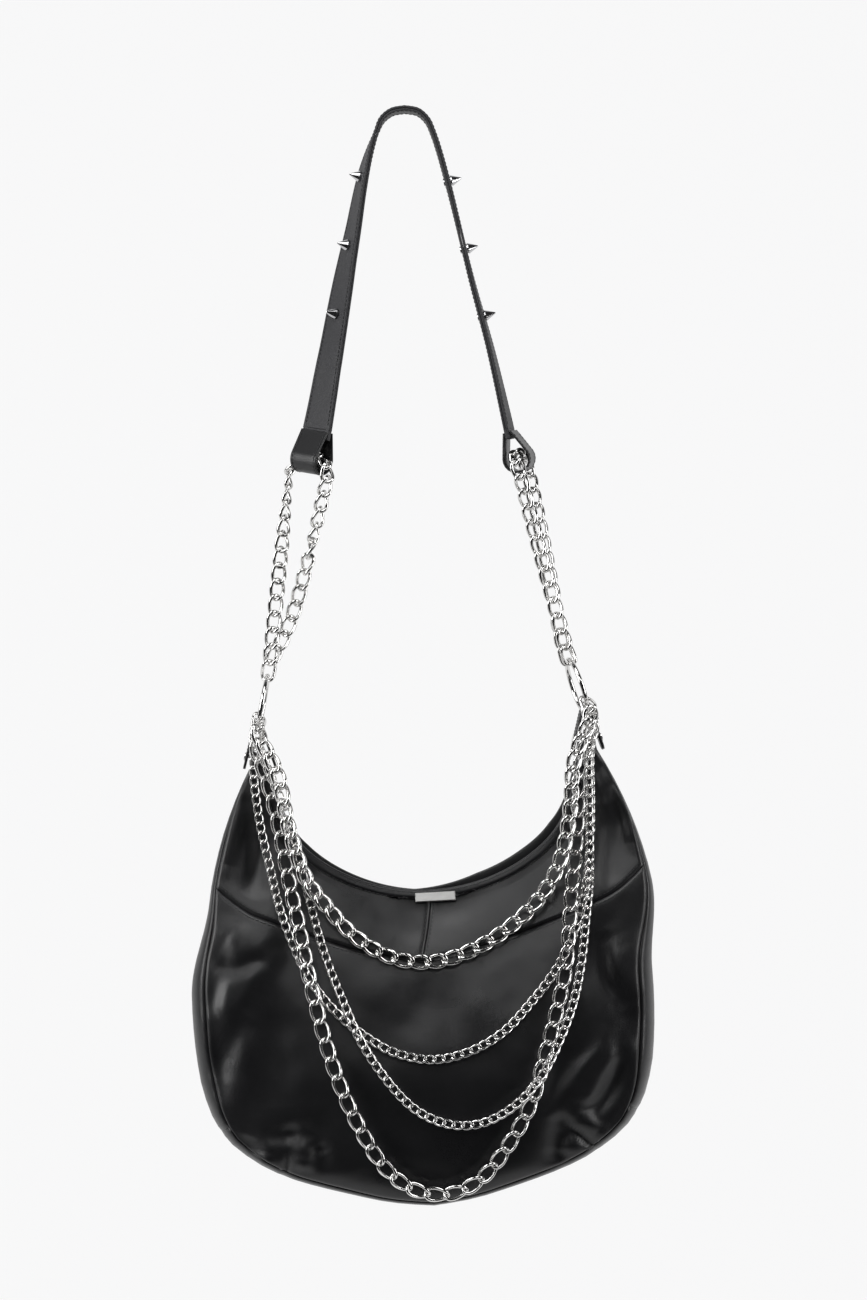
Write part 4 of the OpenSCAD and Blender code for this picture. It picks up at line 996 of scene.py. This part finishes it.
def makeLoops():
    for index, hand in ((0, "left"), (1, "right")):
        end = strapCentre[0] if index == 0 else strapCentre[-1]
        lean = loopShape["leans"][index]
        turn = strapShape[hand][-1][2]
        r = loopShape["wide"] / 2 - loopShape["thick"] / 2
        low = -(loopShape["length"] - loopShape["wide"] / 2)
        neck = strapShape["layer"] + 0.1 + loopShape["thick"] / 2
        top = -loopShape["starts"][index]
        d = math.hypot(neck, top - low)
        a = math.atan2(top - low, neck) - math.acos(r / d)
        arc = np.linspace(a, -math.pi - a, 72)
        bend = np.stack([r * np.cos(arc), low + r * np.sin(arc)], -1)
        path = np.concatenate([[[neck, top]], bend, [[-neck, top]]])
        path = evenLine(path, 150, 2)
        zero = np.zeros(len(path))
        centre = np.stack([zero, path[:, 0], path[:, 1]], -1)
        across, out = pathFrame(centre, (1.0, 0, 0), -1)
        share = np.clip(-path[:, 1] / (loopShape["length"] + loopShape["wide"]), 0, 1)
        half = strapShape["width"] / 2 * (1 - share * (1 - loopShape["taper"])) - 0.1
        place = lambda p: turnY(turnZ(p, turn), lean)
        body = f"chain_{hand}"
        w = loopShape["thick"] / 2
        piece = stripMesh(f"{hand}Loop", place(centre) + end, place(across), place(out), half,
                          -w, w, "smoothLeather", body, corner=0.8,
                          grooves=[(loopShape["stitchIn"], 0.22, 0.7)], cols=16)
        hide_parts(f"loop_{hand}")
        for edge in (-1, 1):
            inset = half - loopShape["stitchIn"]
            line = centre + across * (edge * inset)[:, None] + out * (w - 0.1)
            row = slice(6, -6)
            stitchRow(f"{hand}LoopStitches{'A' if edge < 0 else 'B'}",
                      (place(line) + end)[row], place(out)[row], body, pitch=3.2)


makeLoops()
print("chain loops made")

tabShape = {"width": 10.0, "thick": 2.0, "leg": 33.0, "spread": 16.5, "stitchIn": 1.6}


def ringLow(index):
    lean = bagShape["ringLean"][index]
    turn = bagShape["ringTurn"][index]
    side = -1 if index == 0 else 1
    centre = np.array([side * bagShape["ringSpan"] / 2, 0, 0])
    low = turnZ(turnY(np.array([0.0, 0.0, -ringRadius]), lean), turn)
    return centre + low, turn


def makeTabs():
    eye = bagShape["ringWire"] / 2 + ringRadius \
        - math.sqrt(ringRadius ** 2 - tabShape["width"] ** 2 / 4) + 0.3
    r = eye + tabShape["thick"] / 2
    spread = math.radians(tabShape["spread"])
    for index, hand in ((0, "left"), (1, "right")):
        low, turn = ringLow(index)
        arc = np.linspace(math.pi - spread, spread, 40)
        bend = np.stack([r * np.cos(arc), r * np.sin(arc)], -1)
        legDir = np.array([math.sin(spread), -math.cos(spread)])
        leftFoot = bend[0] + tabShape["leg"] * legDir * np.array([-1, 1])
        rightFoot = bend[-1] + tabShape["leg"] * legDir
        path = evenLine(np.concatenate([[leftFoot], bend, [rightFoot]]), 120, 2)
        zero = np.zeros(len(path))
        centre = np.stack([path[:, 0], zero, path[:, 1]], -1)
        across, out = pathFrame(centre, (0, 1.0, 0), 1)
        run = runOf(centre)
        toEnd = np.minimum(run, run[-1] - run)
        half = tabShape["width"] / 2
        rounded = np.sqrt(np.clip(1 - (1 - np.clip(toEnd / half, 0, 1)) ** 2, 0.02, 1))
        w = tabShape["thick"] / 2
        place = lambda p: toRow(turnZ(p, turn) + low)
        centreRow = place(centre)
        acrossRow = unit(place(centre + across) - centreRow)
        outRow = unit(place(centre + out) - centreRow)
        piece = stripMesh(f"{hand}RingTab", centreRow * 1000, acrossRow, outRow, half * rounded,
                          -w, w, "smoothLeather", "bag", corner=0.7, cols=10)
        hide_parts(f"tab_{hand}")
        for edge in (-1, 1):
            line = centreRow * 1000 + acrossRow * (edge * (half - tabShape["stitchIn"])) \
                + outRow * (w - 0.08)
            row = slice(10, -10)
            stitchRow(f"{hand}TabStitches{'A' if edge < 0 else 'B'}", line[row], outRow[row],
                      "bag", pitch=2.8)


makeTabs()
print("ring tabs made")


# the mouth's edge, left to right
def mouthLine(count):
    whole = np.concatenate([(rimTable * flipX)[::-1], rimTable[1:]])
    return evenLine(whole, count, 2)


# "backLift" is how far the back rim stands above the front one, by x
mouthShape = {
    "backLift": ((-130, -100, -13, 40, 80, 105, 135), (0, 2.5, 0, 5.7, 6.5, 6, 0)),
    "rimHeight": 7.0, "leather": 2.0, "steps": 220, "zipEnd": 0.9, "zipSteps": 200,
}


# a tube round the mouth, from rings of points on one side of the bag
def mouthTube(name, rings, away, material, node):
    rings = np.stack(rings, 1)
    faces = tubeFaces(*rings.shape[:2])
    if away:
        faces = turned(faces)
    piece = makeMesh(name, toRow(rings).reshape(-1, 3), faces, material, "bag")
    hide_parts(node)


def makeRims():
    line = mouthLine(mouthShape["steps"])
    out = upwardOf(line)
    for side, word in ((-1, "front"), (1, "back")):
        profile = []
        h = mouthShape["rimHeight"]
        t = mouthShape["leather"]
        for height, inward in ((-h, 0.5), (-h + 0.5, -0.25), (-h * 0.6, -0.3), (-1.6, -0.3),
                               (-0.6, -0.05), (-0.1, 0.5), (0.05, t / 2), (-0.1, t - 0.4),
                               (-0.8, t), (-h * 0.6, t + 0.1), (-h, t)):
            lift = np.interp(line[:, 0], mouthShape["backLift"][0], mouthShape["backLift"][1])
            rise = lift * (1 + height / h) if side > 0 else 0 * lift
            flat = line + out * (height + rise)[:, None]
            depth = sampled(reliefs[side], flat[:, 0], flat[:, 1])
            profile.append(np.stack([flat[:, 0] + swayAt(flat[:, 1]), side * (depth - inward),
                                     flat[:, 1]], -1))
        mouthTube(f"{word}Rim", profile, side > 0, "bagLeather", f"rim_{word}")


makeRims()


def bodyStitches(name, flat, side, lift=0.0):
    fine = evenLine(flat, 200, 2)
    point, normal = onBody(fine, side, np.full(len(fine), lift))
    row = toRow(point) * 1000
    tip = toRow(point + normal) * 1000
    return stitchRow(name, row, tip - row, "bag")


def offsetLine(line, gap):
    return line + gap * upwardOf(line)


# how far each row of stitches lies from its seam and how far it is lifted off the leather
stitchPlaces = {
    "seam": 2.8, "seamLift": 0.1, "centreLift": -0.35,
    "rim": {"Upper": (-1.9, 0.28), "Lower": (-7.2, 0.42)},
}


def makeBodyStitches():
    v = stitchPlaces
    for side, word in ((-1, "front"), (1, "back")):
        trim = spreadLine(seamLine, np.linspace(0.01, 0.99, 240), 2)
        for row, way in (("Upper", 1), ("Lower", -1)):
            bodyStitches(f"{word}SeamStitches{row}", offsetLine(trim, way * v["seam"]), side,
                         v["seamLift"])
        for edge, hand in ((-1, "Left"), (1, "Right")):
            low, high = halfSeam[0][1] + 4, rimLowZ - mouthShape["rimHeight"] - 2
            flat = np.stack([np.full(30, edge * v["seam"]), np.linspace(low, high, 30)], -1)
            bodyStitches(f"{word}CentreStitches{hand}", flat, side, v["centreLift"])
        mouth = mouthLine(260)[10:-10]
        for row, (gap, lift) in v["rim"].items():
            bodyStitches(f"{word}RimStitches{row}", offsetLine(mouth, gap), side, lift)


makeBodyStitches()
print("rims and stitching made")


# a tape's profile: share of the bag's depth there, way in from it, and height
tapeProfile = ((1, 2.3, -3.9), (1, 2.3, -3.0), (0, -1.6, -2.6), (0, -0.2, -2.9), (0, -0.2, -3.8))


def makeTapes():
    steps = mouthShape["zipSteps"]
    whole = mouthLine(steps)
    cut = round((1 - mouthShape["zipEnd"]) * steps / 2)
    kept = slice(cut, len(whole) - cut)
    line, out = whole[kept], upwardOf(whole)[kept]
    for side, word in ((-1, "Front"), (1, "Back")):
        rings = []
        for share, inward, height in tapeProfile:
            flat = line + out * height
            depth = share * sampled(reliefs[side], line[:, 0], line[:, 1] - 1) - inward
            rings.append(np.stack([flat[:, 0] + swayAt(flat[:, 1]), side * depth, flat[:, 1]], -1))
        mouthTube(f"zipTape{word}", rings, side < 0, "zipTape", "zip_tapes")


makeTapes()


def makeLining():
    centre = np.array([0.0, -300.0])
    flat = centre + (lowerFlat[::3, ::3] - centre) * 0.88
    for side, word in ((-1, "Front"), (1, "Back")):
        local = onBody(flat, side, np.full(flat.shape[:2], -4.6))[0]
        leatherShell(f"lining{word}", local, np.array([0, side, 0]), "lining", 0.5, 0.2,
                     "liningCloth")


makeLining()
print("zip tapes and lining made")

# every link of the frame gets a smooth one of round wire on its own axes
chainShape = {
    "twist": 39.0, "squareness": 2.05, "sides": 10, "steps": 40, "hookReach": 34,
    "hookSquareness": 2.9,
    "pieces": {  # node: name, body, wire in the frame, wire here, all in millimetres
        "strap_chain_left": ("leftStrapChain", "chain_left", 2.6, 3.0),
        "strap_chain_right": ("rightStrapChain", "chain_right", 2.6, 3.0),
        "swag_top": ("topSwag", "swag_top_body", 2.6, 3.3),
        "swag_fine_upper": ("upperFineSwag", "swag_fine_upper_body", 1.6, 1.85),
        "swag_fine_lower": ("lowerFineSwag", "swag_fine_lower_body", 1.6, 1.85),
        "swag_open": ("openSwag", "swag_open_body", 2.2, 2.7),
    },
}


def readAll(items, field, width, kind=float):
    values = np.zeros(len(items) * width, kind)
    items.foreach_get(field, values)
    return values.reshape(-1, width) if width > 1 else values


# numbers the solids of a mesh, whose faces share no points, so that they are joined by place
def solidNumbers(mesh):
    edges = readAll(mesh.edges, "vertices", 2, int)
    places = np.round(readAll(mesh.vertices, "co", 3) * 1e6).astype(int)
    spot = np.unique(places, axis=0, return_inverse=True)[1].ravel()
    label = np.arange(len(places))
    while True:
        before = label.copy()
        lowest = np.full(spot.max() + 1, len(label))
        np.minimum.at(lowest, spot, label)
        label = lowest[spot]
        for tail, head in ((0, 1), (1, 0)):
            np.minimum.at(label, edges[:, tail], label[edges[:, head]])
        label = label[label]
        if np.array_equal(before, label):
            return np.unique(label, return_inverse=True)[1]


# links laid along joints of their own: each joint in millimetres, then the way a link faces;
# "keepBelow" is the height under which the frame's links stay
linkRoutes = {
    "strap_chain_left": {"keepBelow": 0.0, "joints": [
        (-70.5, -4.1, -281.3, 0.59, -0.45, 0.67),
        (-64.1, -10.3, -290.2, 0.63, -0.63, 0.46),
        (-63.4, -12.8, -301.1, 0.58, -0.81, -0.02),
        (-66.5, -10.3, -313.1, 0.52, -0.82, -0.25),
    ]},
    "strap_chain_right": {"keepBelow": -438.0, "joints": [
        (131.7, -7.6, -438.4, 0.20, -0.98, -0.07),
        (128.2, -8.2, -425.7, 0.17, -0.97, -0.15),
        (124.8, -8.5, -412.9, 0.15, -0.94, -0.29),
        (121.3, -8.5, -400.2, 0.14, -0.89, -0.44),
        (117.8, -8.5, -387.5, 0.12, -0.81, -0.57),
        (114.3, -8.5, -374.7, 0.11, -0.75, -0.66),
        (110.8, -8.9, -362.0, 0.09, -0.70, -0.70),
        (107.4, -9.7, -349.3, 0.07, -0.69, -0.72),
        (104.0, -11.1, -336.6, 0.04, -0.71, -0.70),
        (100.7, -13.2, -324.0, -0.02, -0.78, -0.62),
        (97.5, -16.4, -311.6, -0.14, -0.93, -0.34),
        (94.5, -20.7, -299.5, -0.30, -0.92, 0.26),
        (91.2, -16.2, -287.9, -0.38, -0.57, 0.73),
        (90.8, -6.0, -279.8, -0.31, 0.03, 0.95),
        (93.4, 6.7, -279.2, -0.13, 0.59, 0.79),
        (97.9, 17.3, -285.1, 0.13, 0.96, 0.26),
        (102.4, 19.6, -297.0, 0.25, 0.94, -0.23),
        (105.0, 16.0, -309.5, 0.24, 0.95, -0.20),
        (107.6, 13.4, -322.1, 0.23, 0.95, -0.20),
        (110.2, 11.4, -334.9, 0.21, 0.96, -0.19),
        (112.7, 9.9, -347.8, 0.18, 0.97, -0.19),
        (115.2, 8.8, -360.7, 0.14, 0.97, -0.18),
        (117.6, 8.1, -373.7, 0.10, 0.98, -0.17),
        (120.0, 7.5, -386.7, 0.06, 0.98, -0.17),
        (122.4, 7.0, -399.6, 0.01, 0.99, -0.16),
        (124.8, 6.5, -412.6, -0.03, 0.99, -0.15),
        (127.2, 5.8, -425.6, -0.07, 0.99, -0.14),
        (129.7, 4.9, -438.5, -0.11, 0.99, -0.13),
    ]},
}
linkHalf = (9.6, 6.35, 3.58)  # of a laid link, in millimetres


def laidLinks(joints):
    laid = []
    joints = np.array(joints)
    for start, end in zip(joints[:-1], joints[1:]):
        along = (end - start)[:3]
        along /= np.linalg.norm(along)
        face = (start + end)[3:]
        face -= (face @ along) * along
        face /= np.linalg.norm(face)
        axes = np.stack([along, np.cross(face, along), face])
        laid.append(((start + end)[:3] / 2000, axes, np.array(linkHalf) / 1000))
    return laid


def grouped(values, labels):
    order = np.argsort(labels, kind="stable")
    return np.split(values[order], np.flatnonzero(np.diff(labels[order])) + 1)


# middle, axes and half sizes of each link, longest axis first
def linkFrames(obj):
    mesh = obj.data
    world = np.array(obj.matrix_world)
    co, spots = (readAll(items, field, 3) @ world[:3, :3].T + world[:3, 3]
                 for items, field in ((mesh.vertices, "co"), (mesh.polygons, "center")))
    area = readAll(mesh.polygons, "area", 1)
    label = solidNumbers(mesh)
    corner = readAll(mesh.loops, "vertex_index", 1, int)
    faceLabel = label[corner[readAll(mesh.polygons, "loop_start", 1, int)]]
    faceGroups = grouped(np.arange(len(faceLabel)), faceLabel)
    pointGroups = grouped(co, label)
    frames = []
    for faces, corners in zip(faceGroups, pointGroups):
        weight = area[faces] / area[faces].sum()
        middle = weight @ spots[faces]
        away = spots[faces] - middle
        axes = np.linalg.eigh((away * weight[:, None]).T @ away)[1].T[::-1]
        if np.linalg.det(axes) < 0:
            axes[2] = -axes[2]
        reach = np.abs((corners - middle) @ axes.T).max(0)
        frames.append((middle, axes, reach))
    return frames


def makeChains():
    v = chainShape
    angle = np.linspace(0, 2 * math.pi, v["steps"], endpoint=False)
    turns = np.stack([np.cos(angle), np.sin(angle)])
    plans = [np.sign(turns) * np.abs(turns) ** (2 / v[key])
             for key in ("squareness", "hookSquareness")]
    n, m = v["steps"], v["sides"]
    around = np.linspace(0, 2 * math.pi, m, endpoint=False)
    linkFaces = [(i * m + k, i * m + (k + 1) % m,
                  (i + 1) % n * m + (k + 1) % m, (i + 1) % n * m + k)
                 for i in range(n) for k in range(m)]
    rings = [np.mean(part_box(f"ring_{hand}"), axis=0) for hand in ("left", "right")]
    for node, (name, body, oldWire, fullWire) in v["pieces"].items():
        points, faces = [], []
        links = linkFrames(nodes[node])
        if node in linkRoutes:
            route = linkRoutes[node]
            links = [link for link in links if link[0][2] * 1000 < route["keepBelow"]
                     and link[2][0] * 1000 < 1.2 * linkHalf[0]]
            links += laidLinks(route["joints"])
        print(node, "has", len(links), "links")
        for middle, axes, reach in links:
            # a link that hangs in a ring keeps the frame's wire, which has room there
            hooked = min(np.linalg.norm(middle - ring) for ring in rings) < v["hookReach"] / 1000
            wire = oldWire if hooked else fullWire
            planX, planY = plans[int(hooked)]
            long = reach[0] - oldWire / 2000 + (wire - oldWire) / 2000
            wide = reach[1] - oldWire / 2000
            x, y = long * planX, wide * planY
            z = math.tan(math.radians(v["twist"])) * x * y / long
            line = np.stack([x, y, z], -1)
            along = unit(np.roll(line, -1, 0) - np.roll(line, 1, 0))
            out = unit(line - (line * along).sum(1)[:, None] * along)
            side = np.cross(along, out)
            skin = line[:, None] + wire / 2000 * (np.cos(around)[None, :, None] * out[:, None]
                                                  + np.sin(around)[None, :, None] * side[:, None])
            start = len(points)
            points.extend(skin.reshape(-1, 3) @ axes + middle)
            faces.extend(tuple(start + k for k in f) for f in linkFaces)
        piece = makeMesh(name, points, faces, "polishedNickel", body)
        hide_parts(node)


makeChains()
print("chains made")

# pieces that keep the frame's own shape and only get a finish
metalNodes = {
    "polishedNickel": ["ring_left", "ring_right", "tab_rivets", "zip_slider", "zip_puller",
                       "plate_posts"],
    "plateMetal": ["name_plate"],
    "studMetal": ["cone_studs", "stud_screws"],
    "darkZip": ["zip_teeth"],
}
for name, members in metalNodes.items():
    for member in members:
        obj = nodes[member]
        obj.data.materials.clear()
        obj.data.materials.append(finish[name])
print("metal finished")

# "seen" is how pale the camera sees the paper
studio = {
    "floor": -1.5, "front": -0.5, "back": 2.2, "pale": (0.9, 0.9, 0.905), "seen": 0.965,
    "worldFront": 0.025, "worldBack": 0.35,
    "lamps": [
        {"name": "leftBox", "at": (-2.1, -0.9, 0.0), "size": (0.8, 1.8), "watts": 34},
        {"name": "rightBox", "at": (2.1, -0.9, -0.1), "size": (0.6, 1.8), "watts": 24},
        {"name": "frontBox", "at": (-0.5, -2.7, 0.75), "size": (1.7, 0.55), "watts": 13},
        {"name": "topBox", "at": (-0.3, -1.2, 1.3), "size": (1.5, 0.9), "watts": 20},
    ],
    "aim": (0.0, 0.0, -0.5),
}


def makeSweep():
    profile = [(studio["front"], studio["floor"])]
    bend = 1.2
    for a in np.linspace(0, math.pi / 2, 16):
        profile.append((studio["back"] - bend + bend * math.sin(a),
                        studio["floor"] + bend - bend * math.cos(a)))
    profile.append((studio["back"], 4.0))
    points = [(x, y, z) for y, z in profile for x in (-6.0, 6.0)]
    faces = [(2 * i, 2 * i + 1, 2 * i + 3, 2 * i + 2) for i in range(len(profile) - 1)]
    mesh = bpy.data.meshes.new("paperSweep")
    mesh.from_pydata(points, [], faces)
    mesh.polygons.foreach_set("use_smooth", [True] * len(mesh.polygons))
    obj = bpy.data.objects.new("paperSweep", mesh)
    scene.collection.objects.link(obj)
    mat, tree = blankMaterial("palePaper")
    matt = addNode(tree, "ShaderNodeBsdfDiffuse", (0, 100), Color=studio["pale"])
    seen = studio["seen"]
    glow = addNode(tree, "ShaderNodeEmission", (0, -100), Strength=1.0,
                   Color=(seen, seen, seen + 0.003))
    path = addNode(tree, "ShaderNodeLightPath", (-500, 300)).outputs
    direct = mathNode(tree, "MAXIMUM", path["Is Camera Ray"], path["Is Glossy Ray"], (-250, 300))
    direct = mathNode(tree, "MAXIMUM", direct, path["Is Transmission Ray"], (-100, 300))
    share = mathNode(tree, "MULTIPLY", direct, 0.94, (50, 300))
    paper = mixShaders(tree, share, matt.outputs[0], glow.outputs[0], (300, 0))
    # a camera behind the paper looks through it
    behind = addNode(tree, "ShaderNodeNewGeometry", (-500, 600)).outputs["Backfacing"]
    through = mathNode(tree, "MULTIPLY", behind, path["Is Camera Ray"], (-250, 600))
    clear = addNode(tree, "ShaderNodeBsdfTransparent", (300, 250))
    surface = mixShaders(tree, through, paper, clear.outputs[0], (450, 100))
    addNode(tree, "ShaderNodeOutputMaterial", (600, 0), Surface=surface)
    mesh.materials.append(mat)


def makeLamps():
    for v in studio["lamps"]:
        data = bpy.data.lights.new(v["name"], "AREA")
        data.shape = "RECTANGLE"
        data.size, data.size_y = v["size"]
        data.energy = v["watts"]
        lamp = bpy.data.objects.new(v["name"], data)
        lamp.location = v["at"]
        aim = Vector(studio["aim"]) - Vector(v["at"])
        lamp.rotation_euler = aim.to_track_quat("-Z", "Y").to_euler()
        scene.collection.objects.link(lamp)


def makeWorld():
    world = bpy.data.worlds.new("studioWorld")
    world.use_nodes = True
    tree = world.node_tree
    place = addNode(tree, "ShaderNodeTexCoord", (-800, 0)).outputs["Generated"]
    split = addNode(tree, "ShaderNodeSeparateXYZ", (-600, 0), Vector=place)
    level = ramp(tree, split.outputs["Y"], -0.15, 0.45,
                 (studio["worldFront"], studio["worldBack"]), (-400, 0))
    ground = tree.nodes["Background"]
    setInputs(tree, ground, Color=(0.9, 0.91, 0.93), Strength=level)
    # the camera sees the paper's own paleness where the paper ends
    pale = addNode(tree, "ShaderNodeBackground", (-100, -250), Strength=1.0,
                   Color=(studio["seen"] * 0.97,) * 3)
    camera = addNode(tree, "ShaderNodeLightPath", (-400, -250)).outputs["Is Camera Ray"]
    chosen = mixShaders(tree, camera, ground.outputs[0], pale.outputs[0], (150, 0))
    setInputs(tree, tree.nodes["World Output"], Surface=chosen)
    scene.world = world


makeSweep()
makeLamps()
makeWorld()
print("studio made")
